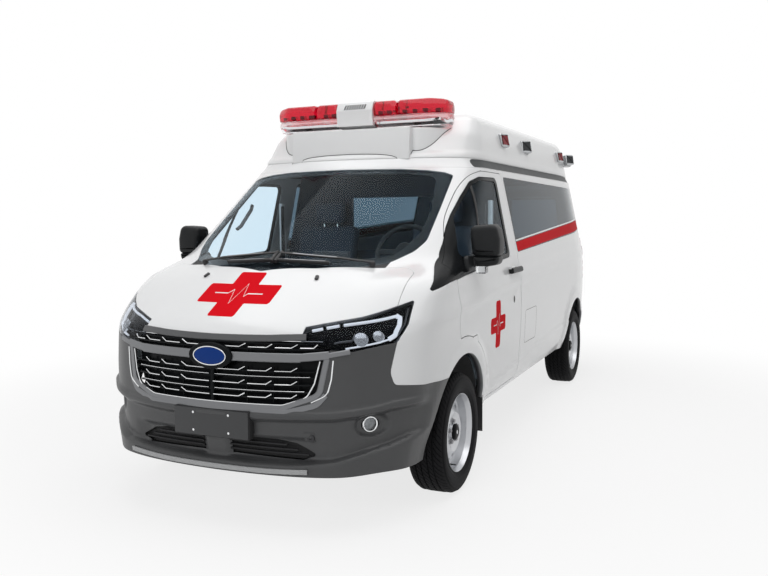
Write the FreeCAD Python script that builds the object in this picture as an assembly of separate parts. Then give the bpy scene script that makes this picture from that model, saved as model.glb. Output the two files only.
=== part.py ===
"""High-roof van ambulance: panel body, doors, bonnet, running gear, cab and load space.

Frame: +X is the vehicle's left, +Y its rear, +Z up. The origin is on the ground, midway
between the axles on the centre plane. Lengths are in millimetres.
"""
import FreeCAD, Part
import math
import os
from FreeCAD import Vector

os.makedirs("parts", exist_ok=True)

# ---------------------------------------------------------------- driving dimensions
WHEELBASE = 3300.0
TRACK = 1740.0
TYRE_R = 338.0
AXLE_Z = TYRE_R
TYRE_W = 215.0
RIM_R = 220.0              # outer lip of the 16 inch steel rim
RIM_W = 190.0
RIM_SLOTS = 16
SPINDLE_R = 30.0
RUN_FIT = 0.05             # radial clearance of each hub on its spindle
ARCH_R = TYRE_R + 112      # wheel-arch opening in the body side
LINER_WALL = 8.0
LINER_INNER_X = TRACK / 2 - 330
LINER_OUTER_X = TRACK / 2 + 65
RAIL_X = LINER_INNER_X - 70
RAIL_Z = 430.0             # underside of the chassis rails
RAIL_H = 78.0
SPRING_X = LINER_INNER_X + 20
STEER_X = TRACK / 2 - 70   # steering axis at hub height
STEER_LEAN = 12.0          # degrees the steering axis leans inboard at its top

WALL = 45.0                # whole thickness of doors and side walls
ROOF_WALL = 38.0
SLOPE_WALL = 72.0          # the same wall measured level through the sloped windscreen
SHUT_GAP = 8.0             # gap round doors and bonnet
GLASS_SET = 5.0            # glass face below the outer skin
GLASS_T = 6.0

FLOOR_Z = 560.0            # top of the load floor
FLOOR_T = 50.0
SILL_Z = 390.0             # lower edge of the side panels
BELT_Z = 1280.0
BONNET_LIP_Z = 985.0       # lower edge of the bonnet across the nose
ROOF_SEAM_Z = 1866.0       # joint between steel body and roof cap
BAND_H = 62.0
DOOR_FRONT = -100.0        # from the front axle
DOOR_REAR = 1275.0
DOOR_TOP_Z = 1846.0
DOOR_LOW_Z = SILL_Z + 30
HINGE_X = 988.0            # front door hinge line, in the middle of the gap ahead of the door
HINGE_PIN_R = 3.0
REAR_DOOR_HALF = 740.0
REAR_DOOR_LOW = 575.0
REAR_DOOR_TOP = 1840.0
REAR_HINGE_X = REAR_DOOR_HALF + 22
REAR_HINGE_Y = WHEELBASE / 2 + 1012
REAR_HINGE_R = 9.0
TAIL_LAMP_X = REAR_DOOR_HALF + 35
PARTITION_Y = 1335.0       # from the front axle
CORNER_FACETS = 3          # flats round each panel and window corner

PLATE_W, PLATE_H = 440.0, 136.0
PLATE_Z = 544.0            # middle of the number plate
PLATE_HOLES = (210.0, 90.0)
PLATE_HOLE_R = 3.0
BADGE_Z = 880.0            # middle of the oval badge and of the bar through it
TOW_X, TOW_Z = 507.0, 489.0
TOW_HOLE_R = 8.0
FOG_X, FOG_Z, FOG_R = 783.0, 543.0, 40.0
SIGN_Y, SIGN_HALF, SIGN_TOP_Z = 575.0, 430.0, 2130.0
BAR_Y = (672.0, 948.0)     # light bar, from the front axle
BAR_Z = (2206.0, 2318.0)
LAMP_YS = (1555, 2199, 3491, 3942)      # side lamps along the roof, from the front axle

FRONT = -WHEELBASE / 2
REAR = WHEELBASE / 2

# Body outline at each height. nose, bow_y and start are from the front axle; the tail is
# from the rear axle. (z, half width, nose, bow x, bow y, start of the straight side, tail)
LEVELS = [
    (322, 897, -960, 600, -900, -600, 982),
    (500, 965, -995, 610, -905, -560, 1000),
    (760, 986, -998, 610, -890, -540, 1000),
    (1010, 990, -958, 600, -875, -500, 1000),
    (1236, 970, -567, 600, -480, -230, 1000),
    (1285, 958, -500, 620, -225, 220, 998),
    (1858, 836, 450, 580, 565, 905, 975),
    (1912, 804, 525, 560, 615, 945, 972),
    (2100, 772, 715, 480, 750, 1000, 960),
    (2400, 640, 1100, 420, 1150, 1350, 945),
]
TAPER_START = -50.0        # from the rear axle
TAPER_END = 900.0
TAPER_IN = 847.0 - REAR_DOOR_HALF      # how far the side draws in by TAPER_END, to the wider doors
TAIL_CORNER = 100.0


# ---------------------------------------------------------------- small helpers
def arc(a, m, b):
    return Part.Arc(Vector(*a), Vector(*m), Vector(*b)).toShape()


def line(a, b):
    return Part.LineSegment(Vector(*a), Vector(*b)).toShape()


def bulged(a, b, bulge):
    """Middle point of an arc from a to b that bulges to the right of the way from a to b."""
    dx = b[0] - a[0]
    dy = b[1] - a[1]
    return ((a[0] + b[0]) / 2 + dy * bulge, (a[1] + b[1]) / 2 - dx * bulge)


def rounded_wire(corners, place):
    """Closed wire from (a, b, radius) corners, each round cut as CORNER_FACETS flats."""
    points = []
    n = len(corners)
    for i in range(n):
        a, b, r = corners[i]
        p = Vector(a, b, 0)
        if r <= 0:
            points.append(p)
            continue
        before = (Vector(*corners[i - 1][:2], 0) - p).normalize()
        after = (Vector(*corners[(i + 1) % n][:2], 0) - p).normalize()
        half = before.getAngle(after) / 2
        centre = p + (before + after).normalize() * (r / math.sin(half))
        start = p + before * (r / math.tan(half)) - centre
        end = p + after * (r / math.tan(half)) - centre
        for k in range(CORNER_FACETS + 1):
            share = k / CORNER_FACETS
            points.append(centre + (start * (1 - share) + end * share).normalize() * r)
    points = [Vector(*place(p.x, p.y)) for p in points]
    return Part.makePolygon(points + points[:1])


def prism(corners, axis, low, high, grow=0.0):
    """Rounded polygon, grown by a gap, swept along an axis. x: (y, z), y: (x, z), z: (x, y)."""
    places = {"x": lambda a, b: (low, a, b), "y": lambda a, b: (a, low, b),
              "z": lambda a, b: (a, b, low)}
    ways = {"x": Vector(high - low, 0, 0), "y": Vector(0, high - low, 0),
            "z": Vector(0, 0, high - low)}
    corners = [c if len(c) == 3 else (c[0], c[1], 0) for c in corners]
    face = Part.Face(rounded_wire(corners, places[axis]))
    if grow:
        face = face.makeOffset2D(grow, 2)
    return face.extrude(ways[axis])


def box(x0, x1, y0, y1, z0, z1):
    return Part.makeBox(x1 - x0, y1 - y0, z1 - z0, Vector(x0, y0, z0))


def tube_x(radius, x0, x1, y, z):
    return Part.makeCylinder(radius, x1 - x0, Vector(x0, y, z), Vector(1, 0, 0))


def turned(profile, y=0.0, z=0.0):
    """Solid of revolution about a line along X, from (x, radius) points."""
    points = [Vector(x, 0, r) for x, r in profile]
    face = Part.Face(Part.makePolygon(points + points[:1]))
    solid = face.revolve(Vector(0, 0, 0), Vector(1, 0, 0), 360)
    return solid.translated(Vector(0, y, z))


def mirrored(shape):
    return shape.mirror(Vector(0, 0, 0), Vector(1, 0, 0))


def both(shape):
    return [shape, mirrored(shape)]


def front(points):
    """(y, z) corners whose lengthwise value counts from the front axle."""
    return [(p[0] + FRONT,) + tuple(p[1:]) for p in points]


def front_plan(points):
    """(x, y) corners whose lengthwise value counts from the front axle."""
    return [(p[0], p[1] + FRONT) + tuple(p[2:]) for p in points]


NODES = {}


def keep(node, shapes):
    shapes = shapes if isinstance(shapes, list) else [shapes]
    solids = [s for shape in shapes for s in shape.Solids]
    NODES[node] = Part.makeCompound(solids)


# ---------------------------------------------------------------- body envelope
def plan_wire(level, side_in, front_in, tail_in):
    """Plan outline of the body at one height, drawn in by the given walls."""
    z, half, nose, bow_x, bow_y, start, tail = level
    tip = (0, FRONT + nose + front_in)
    bow = (bow_x - side_in / 2, FRONT + bow_y + front_in)
    fore = (half - side_in, FRONT + start + front_in / 2)
    aft = (half - side_in, REAR + TAPER_START)
    end = (half - side_in - TAPER_IN, REAR + TAPER_END - tail_in)
    back = (half - side_in - TAPER_IN - TAIL_CORNER, REAR + tail - tail_in)
    corner_mid = bulged(bow, fore, 0.17)
    taper_mid = bulged(aft, end, 0.028)
    tail_mid = bulged(end, back, 0.2)

    def flip(p):
        return (-p[0], p[1])

    def up(p):
        return (p[0], p[1], z)

    edges = [arc(up(flip(bow)), up(tip), up(bow)),
             arc(up(bow), up(corner_mid), up(fore)),
             line(up(fore), up(aft)),
             arc(up(aft), up(taper_mid), up(end)),
             arc(up(end), up(tail_mid), up(back)),
             line(up(back), up(flip(back))),
             arc(up(flip(back)), up(flip(tail_mid)), up(flip(end))),
             arc(up(flip(end)), up(flip(taper_mid)), up(flip(aft))),
             line(up(flip(aft)), up(flip(fore))),
             arc(up(flip(fore)), up(flip(corner_mid)), up(flip(bow)))]
    return Part.Wire(edges)


def roof_trim(drop):
    """Space under the roof: crown and shoulders across, roof line along."""
    shoulder_x, shoulder_z = 774 - drop, 2085
    edge_x, edge_z = 610 - drop * 0.3, 2278 - drop
    mid_x, mid_z = 727 - drop * 0.8, 2210 - drop * 0.6
    crown_z = 2312 - drop
    y0 = FRONT - 1500
    y1 = REAR + 1500

    def at(x, z):
        return (x, y0, z)

    across = Part.Wire([
        line(at(-1200, 0), at(1200, 0)), line(at(1200, 0), at(1200, 1900)),
        line(at(1200, 1900), at(shoulder_x, shoulder_z)),
        arc(at(shoulder_x, shoulder_z), at(mid_x, mid_z), at(edge_x, edge_z)),
        arc(at(edge_x, edge_z), at(0, crown_z), at(-edge_x, edge_z)),
        arc(at(-edge_x, edge_z), at(-mid_x, mid_z), at(-shoulder_x, shoulder_z)),
        line(at(-shoulder_x, shoulder_z), at(-1200, 1900)), line(at(-1200, 1900), at(-1200, 0))])
    across = Part.Face(across).extrude(Vector(0, y1 - y0, 0))

    def side(y, z):
        return (-1300, y, z)

    fore = (FRONT + 600 + drop, 2110 - drop)
    top = (FRONT + 2000, 2315 - drop)
    aft = (y1, 2240 - drop)
    along = Part.Wire([
        line(side(y0, 0), side(y1, 0)), line(side(y1, 0), side(*aft)),
        arc(side(*aft), side(REAR, 2299 - drop), side(*top)),
        arc(side(*top), side(FRONT + 1150, 2255 - drop), side(*fore)),
        line(side(*fore), side(y0, 1900)), line(side(y0, 1900), side(y0, 0))])
    along = Part.Face(along).extrude(Vector(2600, 0, 0))
    return across.common(along)


def envelope(inset, slope_inset, roof_inset):
    """Solid body volume, drawn in by the given wall thicknesses."""
    wires = []
    for level in LEVELS:
        sloped = 1010 < level[0] < 2050
        wires.append(plan_wire(level, inset, slope_inset if sloped else inset, inset))
    return Part.makeLoft(wires, True, True).common(roof_trim(roof_inset))


OUTER = envelope(0, 0, 0)
INNER = envelope(WALL, SLOPE_WALL, ROOF_WALL)
SHELL = OUTER.cut(INNER)
GLASS = envelope(GLASS_SET, GLASS_SET * 1.8, GLASS_SET).cut(
    envelope(GLASS_SET + GLASS_T, (GLASS_SET + GLASS_T) * 1.8, GLASS_SET + GLASS_T))


# ---------------------------------------------------------------- panel outlines
DOOR = front([(DOOR_FRONT, 860), (DOOR_FRONT, 1495, 60), (790, DOOR_TOP_Z, 80),
              (DOOR_REAR, DOOR_TOP_Z, 60), (DOOR_REAR, DOOR_LOW_Z, 60), (250, DOOR_LOW_Z),
              (250, 860)])
DOOR_OUTBOARD = [(600, 200), (600, 1180), (862, 1240), (775, 1900), (1400, 1900), (1400, 200)]
DOOR_WINDOW = front([(-31, 1248, 22), (-31, 1433, 22), (757, 1793, 62), (1118, 1803, 42),
                     (1087, 1281, 42)])
WINDSCREEN = [(-800, 1295, 60), (-690, 1822, 60), (690, 1822, 60), (800, 1295, 60)]
SLIDE_DOOR_END = DOOR_REAR + 1180
SLIDE_DOOR = front([(DOOR_REAR + SHUT_GAP, DOOR_LOW_Z, 60), (DOOR_REAR + SHUT_GAP, DOOR_TOP_Z, 60),
                    (SLIDE_DOOR_END, DOOR_TOP_Z, 60), (SLIDE_DOOR_END, DOOR_LOW_Z, 60)])
SIDE_WINDOW = front([(DOOR_REAR + 60, 1335, 30), (DOOR_REAR + 60, 1812, 30), (3890, 1800, 40),
                     (3890, 1415, 40)])
BONNET = front_plan([(-640, -1250), (-640, -850), (-835, -655, 30), (-800, -150, 60),
                     (-560, -290), (-300, -450), (0, -520), (300, -450), (560, -290),
                     (800, -150, 60), (835, -655, 30), (640, -850), (640, -1250)])
LAMP = [(470, 960), (470, 1035), (700, 1090), (960, 1160, 15), (1100, 1160), (1100, 985),
        (960, 975, 20), (800, 880, 30), (625, 905)]
GRILLE = [(-615, 977), (615, 977), (592, BADGE_Z, 20), (560, 700, 60), (390, 628, 80),
          (-390, 628, 80), (-560, 700, 60), (-592, BADGE_Z, 20)]
# Rows of slots through the grille: (lowest slot, rows, pitch, slot height, half width)
GRILLE_ROWS = [(914, 2, 25, 15, 560), (732, 4, 30, 20, 505), (672, 2, 30, 20, 400)]
GRILLE_POST = 14
INTAKE_ROWS = [(386, 3, 23, 15, 470)]
INTAKE_POST = 85
BUMPER_REAR = front([(-1400, 200), (-1400, 905), (-860, 905), (-735, 790), (-700, 745),
                     (-300, 690), (-300, 200)])
REAR_DOOR = [(SHUT_GAP / 2, REAR_DOOR_LOW, 20), (SHUT_GAP / 2, REAR_DOOR_TOP, 20),
             (REAR_DOOR_HALF - 70, REAR_DOOR_TOP, 60), (REAR_DOOR_HALF, 1300, 60),
             (REAR_DOOR_HALF, REAR_DOOR_LOW, 60)]
REAR_WINDOW = [(90, 1300, 40), (90, 1740, 40), (REAR_DOOR_HALF - 150, 1740, 40),
               (REAR_DOOR_HALF - 100, 1300, 40)]

LEFT = (300, 1300)                 # x span that covers one side wall
TAIL_SPAN = (REAR + 900, REAR + 1300)
NOSE_SPAN = (FRONT - 1300, FRONT + 300)
ARCHES = [s for y in (FRONT, REAR) for s in both(tube_x(ARCH_R, LINER_INNER_X, 1200, y, AXLE_Z))]


def door_shape(grow):
    """Side view of a front door, clear of the wheel arch by an even margin."""
    blank = prism(DOOR, "x", *LEFT, grow=grow)
    arch = tube_x(ARCH_R + 95 - grow, LEFT[0] - 10, LEFT[1] + 10, FRONT, AXLE_Z)
    outboard = prism(DOOR_OUTBOARD, "y", FRONT - 300, FRONT + 1500, grow=grow)
    return blank.cut(arch).common(outboard)


def handle(y):
    """Pull handle standing proud of the left side skin."""
    return prism([(950, 1168), (1002, 1172, 8), (1004, 1198, 8), (950, 1202)], "y", y, y + 250)


def front_doors():
    blank = door_shape(0)
    window = prism(DOOR_WINDOW, "x", 655, 1250)
    hinge_y = FRONT + DOOR_FRONT - SHUT_GAP / 2
    added = [handle(FRONT + DOOR_REAR - 320)]
    for z in (900, 1120):
        added.append(Part.makeCylinder(HINGE_PIN_R, 60, Vector(HINGE_X, hinge_y, z)))
        added.append(box(HINGE_X - 14, HINGE_X, hinge_y - 1, hinge_y + 10, z, z + 60))
    door = SHELL.common(blank.cut(window)).fuse(added)
    keep("front_door_left", door)
    keep("front_door_right", mirrored(door))
    glass = GLASS.common(window.common(blank))
    keep("door_glass_left", glass)
    keep("door_glass_right", mirrored(glass))


def rear_doors():
    """Twin rear doors with strap hinges whose barrels stand behind the tail."""
    blank = prism(REAR_DOOR, "y", *TAIL_SPAN)
    window = prism(REAR_WINDOW, "y", *TAIL_SPAN)
    tail_y = REAR + 1000
    straps = []
    for z in (700, 1150):
        straps.append(Part.makeCylinder(REAR_HINGE_R, 70, Vector(REAR_HINGE_X, REAR_HINGE_Y, z)))
        straps.append(box(REAR_DOOR_HALF - 110, REAR_HINGE_X, tail_y + 8, REAR_HINGE_Y + 5, z + 5, z + 65))
        straps.append(box(REAR_DOOR_HALF - 110, REAR_DOOR_HALF - 60, tail_y - 12, REAR_HINGE_Y + 5,
                          z + 5, z + 65))
    door = SHELL.common(blank.cut(window)).fuse(straps)
    glass = GLASS.common(window)
    keep("rear_door_left", door)
    keep("rear_door_right", mirrored(door))
    keep("rear_glass_left", glass)
    keep("rear_glass_right", mirrored(glass))


def openings():
    """Everything that is cut out of the fixed shell."""
    cuts = both(door_shape(SHUT_GAP)) + both(prism(REAR_DOOR, "y", *TAIL_SPAN, grow=SHUT_GAP))
    cuts += ARCHES
    return cuts


def upper_body():
    """Roof cap above the seam, and the dark band that covers the seam."""
    above = box(-1300, 1300, FRONT + 560, REAR + 1300, ROOF_SEAM_Z + BAND_H, 2500)
    fore = box(-1300, 1300, FRONT - 200, FRONT + 560, ROOF_SEAM_Z, 2500)
    cap = SHELL.common(above.fuse(fore))
    keep("roof_cap", cap)
    band = box(-1300, 1300, FRONT + 560, REAR + 1300, ROOF_SEAM_Z, ROOF_SEAM_Z + BAND_H)
    keep("roof_band", SHELL.common(band))


def cab_frame():
    """Screen pillars, header and cowl as one ring round the windscreen."""
    zone = box(-1300, 1300, FRONT - 560, FRONT + DOOR_REAR + SHUT_GAP, BELT_Z - 60, ROOF_SEAM_Z)
    screen = prism(WINDSCREEN, "y", FRONT - 700, FRONT + 620)
    bonnet = prism(BONNET, "z", BONNET_LIP_Z - SHUT_GAP, 1400, grow=SHUT_GAP)
    frame = SHELL.common(zone.cut(openings() + [screen, bonnet]))
    keep("cab_frame", frame)
    keep("windscreen", GLASS.common(screen))


def slots(rows, post):
    """Blocks that cut rows of slots through the nose, either side of a middle post."""
    blocks = []
    for low, count, pitch, height, half in rows:
        for k in range(count):
            z = low + k * pitch
            blocks += both(box(post, half, FRONT - 1300, FRONT - 600, z, z + height))
    return blocks


def bumper_region(lamps, grille):
    """Space that the front bumper fills within the shell, with its intake and lamp holes."""
    fogs = both(Part.makeCylinder(FOG_R, 500, Vector(FOG_X, FRONT - 1100, FOG_Z), Vector(0, 1, 0)))
    tow = Part.makeCylinder(TOW_HOLE_R + 20, 500, Vector(TOW_X, FRONT - 1200, TOW_Z), Vector(0, 1, 0))
    region = prism(BUMPER_REAR, "x", -1300, 1300)
    region = region.cut(lamps + [grille, tow] + fogs + ARCHES + slots(INTAKE_ROWS, INTAKE_POST))
    return region, fogs


def plate_pad():
    """Flat pad on the bumper that the number plate screws to."""
    half = PLATE_W / 2 + 12
    pad = box(-half, half, FRONT - 1012, FRONT - 965, PLATE_Z - PLATE_H / 2 - 8,
              PLATE_Z + PLATE_H / 2 + 8)
    holes = [Part.makeCylinder(PLATE_HOLE_R, 30, Vector(x, FRONT - 1012, PLATE_Z + z), Vector(0, 1, 0))
             for x in (-PLATE_HOLES[0] / 2, PLATE_HOLES[0] / 2)
             for z in (-PLATE_HOLES[1] / 2, PLATE_HOLES[1] / 2)]
    return pad, holes


def nose():
    """Bonnet, front wings, lamps, grille and bumper."""
    bonnet = prism(BONNET, "z", BONNET_LIP_Z, 1400)
    lamp = prism(LAMP, "y", *NOSE_SPAN)
    lamp = lamp.common(box(300, 1300, FRONT - 1300, FRONT - 520, 700, 1300))
    lamps = both(lamp)
    grille = prism(GRILLE, "y", FRONT - 1300, FRONT - 600)
    bumper, fogs = bumper_region(lamps, grille)
    pad, holes = plate_pad()
    front_cut = box(-1300, 1300, FRONT - 1300, FRONT - 560, 0, BELT_Z - 60)
    side_cut = box(-1300, 1300, FRONT - 570, FRONT + 560, 0, BELT_Z - 60)
    keep("bonnet", SHELL.common(bonnet.cut(lamps)))
    keep("headlamps", [SHELL.common(lamp) for lamp in lamps + fogs])
    badge = Part.makeCylinder(46, 60, Vector(0, FRONT - 1012, BADGE_Z), Vector(0, 1, 0))
    keep("grille", SHELL.common(grille.cut(lamps + slots(GRILLE_ROWS, GRILLE_POST))).fuse(badge))
    keep("front_bumper", SHELL.common(bumper).fuse(pad.cut(INNER)).cut(holes))
    hole = prism(BONNET, "z", BONNET_LIP_Z - SHUT_GAP, 1400, grow=SHUT_GAP)
    low = box(-1300, 1300, FRONT - 1300, FRONT + 560, 0, SILL_Z)
    whole = prism(BUMPER_REAR, "x", -1300, 1300)
    wings = front_cut.fuse(side_cut).cut(lamps + [grille, whole, hole, low] + openings())
    keep("front_wings", SHELL.common(wings))
    keep("radiator", box(-330, 330, FRONT - 862, FRONT - 822, RAIL_Z + 100, 930))


def tail_lamp_blank():
    """Upright lamp block that wraps the left rear corner."""
    return prism([(TAIL_LAMP_X, 900, 20), (TAIL_LAMP_X, 1330, 20), (1000, 1330), (1000, 900)], "y",
                 REAR + 800, REAR + 1300)


def step_zone():
    """Space of the rear bumper step."""
    return box(-1300, 1300, REAR + 640, REAR + 1300, 345, SILL_Z + 170)


def side_panels():
    """Load-space walls with their windows, and the sliding door on the right."""
    zone = box(0, 1300, FRONT + DOOR_REAR + SHUT_GAP, REAR + 1300, SILL_Z, ROOF_SEAM_Z)
    wall = zone.cut([step_zone(), tail_lamp_blank()]).cut(openings())
    window = prism(SIDE_WINDOW, "x", *LEFT)
    glass = GLASS.common(window)
    keep("side_panel_left", SHELL.common(wall.cut(window)))
    slide = mirrored(prism(SLIDE_DOOR, "x", *LEFT))
    slide_hole = mirrored(prism(SLIDE_DOOR, "x", *LEFT, grow=SHUT_GAP))
    right = mirrored(wall)
    window = mirrored(window)
    grip = mirrored(handle(FRONT + DOOR_REAR + 80))
    keep("side_panel_right", SHELL.common(right.cut([window, slide_hole])))
    keep("sliding_door", SHELL.common(slide.cut(window)).fuse(grip))
    keep("side_glass", both(glass))
    keep("tail_lamps", both(SHELL.common(tail_lamp_blank())))
    keep("rear_bumper", OUTER.cut(INNER).common(step_zone()))


def floor_and_walls():
    inside = INNER.common(box(-1300, 1300, FRONT - 140, REAR + 1300, FLOOR_Z - FLOOR_T, FLOOR_Z))
    outer = tube_x(ARCH_R + LINER_WALL, LINER_INNER_X - LINER_WALL, 1200, 0, AXLE_Z)
    inner = tube_x(ARCH_R, LINER_INNER_X, 1200, 0, AXLE_Z)
    far = box(LINER_OUTER_X, 1300, -700, 700, 0, 1000)
    below = box(0, 1300, -700, 700, 0, AXLE_Z - 20)
    axle_way = box(0, LINER_INNER_X + 10, -80, 80, 0, AXLE_Z + 80)
    liner = outer.cut([inner, far, below, axle_way])
    cuts, liners = [], []
    for y in (FRONT, REAR):
        cuts += both(outer.translated(Vector(0, y, 0)))
        liners += both(liner.translated(Vector(0, y, 0)).common(INNER))
    keep("floor_pan", inside.cut(cuts))
    keep("wheel_liners", liners)
    notch_x = LINER_INNER_X - 20
    notch_z = AXLE_Z + ARCH_R + 12
    wall_low = RAIL_Z + RAIL_H
    firewall = prism([(-notch_x, wall_low), (-notch_x, notch_z), (-880, notch_z), (-880, 1225),
                      (880, 1225), (880, notch_z), (notch_x, notch_z), (notch_x, wall_low)], "y",
                     FRONT - 170, FRONT - 145)
    keep("firewall", firewall.common(INNER))
    wall = box(-1300, 1300, FRONT + PARTITION_Y, FRONT + PARTITION_Y + 25, FLOOR_Z, 2500)
    hatch = box(-350, 350, FRONT, FRONT + 3000, 1300, 1700)
    keep("partition", wall.common(INNER).cut(hatch))
    flap_y = REAR + ARCH_R + LINER_WALL + 2
    flap = box(TRACK / 2 - 90, LINER_OUTER_X, flap_y, flap_y + 6, 190, SILL_Z - 8)
    strap = box(TRACK / 2 - 90, LINER_OUTER_X - 125, flap_y, flap_y + 6, 190, FLOOR_Z - FLOOR_T)
    keep("mud_flaps", both(flap.fuse(strap)))


def wheel(name, y, side):
    """Tyre and pressed steel rim with hub, turning about a line along X."""
    half = TYRE_W / 2
    wall_r = RIM_R + 2
    tyre = turned([(-half + 20, wall_r), (-half, wall_r + 40), (-half, TYRE_R - 42),
                   (-half + 18, TYRE_R - 8), (-half + 45, TYRE_R), (half - 45, TYRE_R),
                   (half - 18, TYRE_R - 8), (half, TYRE_R - 42), (half, wall_r + 40),
                   (half - 20, wall_r)])
    r = RIM_R
    w = RIM_W / 2
    bore = SPINDLE_R + RUN_FIT
    rim = turned([(-w, r), (-w, r - 8), (-w + 14, r - 10), (-w + 30, r - 26), (8, r - 31),
                  (18, 152), (48, 112), (36, 84), (20, 78), (20, bore), (64, bore), (64, 0),
                  (80, 0), (78, 24), (72, 36), (66, 44), (50, 48), (50, 80), (62, 110), (30, 150),
                  (20, r - 30), (24, r - 18), (w - 30, r - 12), (w, r - 2), (w, r), (w - 13, r),
                  (w - 20, r - 6), (22, r - 12), (8, r - 24), (-w + 34, r - 20), (-w + 20, r - 4),
                  (-w + 13, r)])
    slot = box(-w, w, -11, 11, 158, 178)
    rim = rim.cut([slot.rotated(Vector(0, 0, 0), Vector(1, 0, 0), 360 * k / RIM_SLOTS)
                   for k in range(RIM_SLOTS)])
    sign = 1 if side > 0 else -1
    place = Vector(TRACK / 2, y, AXLE_Z)
    for node, shape in (("tyre_" + name, tyre), ("rim_" + name, rim)):
        shape = shape.translated(place)
        keep(node, shape if sign > 0 else mirrored(shape))


def steer_axis(z):
    """x of the leaning steering axis at a height."""
    return STEER_X - (z - AXLE_Z) * math.tan(math.radians(STEER_LEAN))


def knuckle():
    """Hub carrier with its spindle and the strut above it, beside the leaning axis."""
    lean = math.radians(STEER_LEAN)
    way = Vector(-math.sin(lean), 0, math.cos(lean))

    def beside(z, inboard=0):
        return Vector(steer_axis(z) - inboard, FRONT, z)

    low = AXLE_Z - 128
    strut = 50                # the strut stands this far inboard, clear of the tyre
    tip_z = AXLE_Z + ARCH_R - 10
    spindle = tube_x(SPINDLE_R, STEER_X, TRACK / 2 + 60, FRONT, AXLE_Z)
    carrier = tube_x(70, STEER_X - 25, TRACK / 2 - 5, FRONT, AXLE_Z)
    post = Part.makeCylinder(26, 290 / math.cos(lean), beside(low), way)
    bracket = box(steer_axis(AXLE_Z + 150) - strut, steer_axis(AXLE_Z + 150) + 5, FRONT - 22,
                  FRONT + 22, AXLE_Z + 95, AXLE_Z + 160)
    tube = Part.makeCylinder(27, 170, beside(AXLE_Z + 110, strut), way)
    rod = Part.makeCylinder(11, (tip_z - AXLE_Z - 110) / math.cos(lean), beside(AXLE_Z + 110, strut),
                            way)
    link = box(STEER_X - 55, STEER_X, FRONT, FRONT + 120, AXLE_Z - 60, AXLE_Z - 30)
    solid = spindle.fuse([carrier, post, bracket, tube, rod, link])
    keep("knuckle_left", solid)
    keep("knuckle_right", mirrored(solid))


def chassis():
    """Rails, cross members, crash beam with the towing socket, and the front subframe."""
    top = RAIL_Z + RAIL_H
    rails = both(box(RAIL_X - 35, RAIL_X + 35, FRONT - 815, REAR + 930, RAIL_Z, top))
    parts = [rails[1]]
    for y in (FRONT - 750, FRONT + 650, FRONT + 1700, REAR - 500, REAR + 560, REAR + 900):
        parts.append(box(-RAIL_X, RAIL_X, y - 30, y + 30, RAIL_Z + 10, top - 8))
    parts.append(box(-560, 560, FRONT - 860, FRONT - 810, RAIL_Z + 20, RAIL_Z + 100))
    tip = Vector(TOW_X, FRONT - 905, TOW_Z)
    parts.append(Part.makeCylinder(TOW_HOLE_R + 12, 50, tip, Vector(0, 1, 0)))
    sub_z = AXLE_Z - 88
    parts.append(box(-430, 430, FRONT - 130, FRONT + 130, sub_z, sub_z + 60))
    for leg in both(box(RAIL_X - 60, RAIL_X - 10, FRONT - 40, FRONT + 40, sub_z, RAIL_Z + 20)):
        parts.append(leg)
    ball = STEER_X + 52
    arm = prism([(400, sub_z + 12), (400, sub_z + 50), (ball - 112, AXLE_Z - 134),
                 (ball, AXLE_Z - 134), (ball, AXLE_Z - 158), (ball - 122, AXLE_Z - 158)], "y",
                FRONT - 32, FRONT + 32)
    parts += both(arm)
    parts.append(Part.makeCylinder(14, 100, Vector(0, REAR + 560, RAIL_Z - 90)))
    frame = rails[0].fuse(parts)
    hole = Part.makeCylinder(TOW_HOLE_R, 60, tip, Vector(0, 1, 0))
    keep("chassis_frame", frame.cut(hole))


def rear_suspension():
    beam = tube_x(45, -TRACK / 2 + 110, TRACK / 2 - 110, REAR, AXLE_Z)
    stub = tube_x(SPINDLE_R, -TRACK / 2 - 60, TRACK / 2 + 60, REAR, AXLE_Z)
    housing = turned([(-120, 0), (-120, 70), (-50, 125), (50, 125), (120, 70), (120, 0)],
                     REAR, AXLE_Z)
    pinion = Part.makeCylinder(55, 150, Vector(0, REAR - 200, AXLE_Z), Vector(0, 1, 0))
    shaft_y = FRONT + 420
    shaft = Part.makeCylinder(35, REAR - shaft_y, Vector(0, shaft_y, AXLE_Z), Vector(0, 1, 0))
    keep("rear_axle", beam.fuse([stub, housing, pinion, shaft]))
    seat = tube_x(46, -900, 900, REAR, AXLE_Z)
    leaves = []
    for x in (-SPRING_X, SPRING_X):
        spring = box(x - 35, x + 35, REAR - 620, REAR + 620, AXLE_Z - 80, AXLE_Z - 46)
        shackles = [box(x - 35, x + 35, y - 18, y + 18, AXLE_Z - 70, FLOOR_Z - FLOOR_T)
                    for y in (REAR - 600, REAR + 600)]
        leaves.append(spring.fuse(shackles).cut(seat))
    keep("leaf_springs", leaves)


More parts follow.
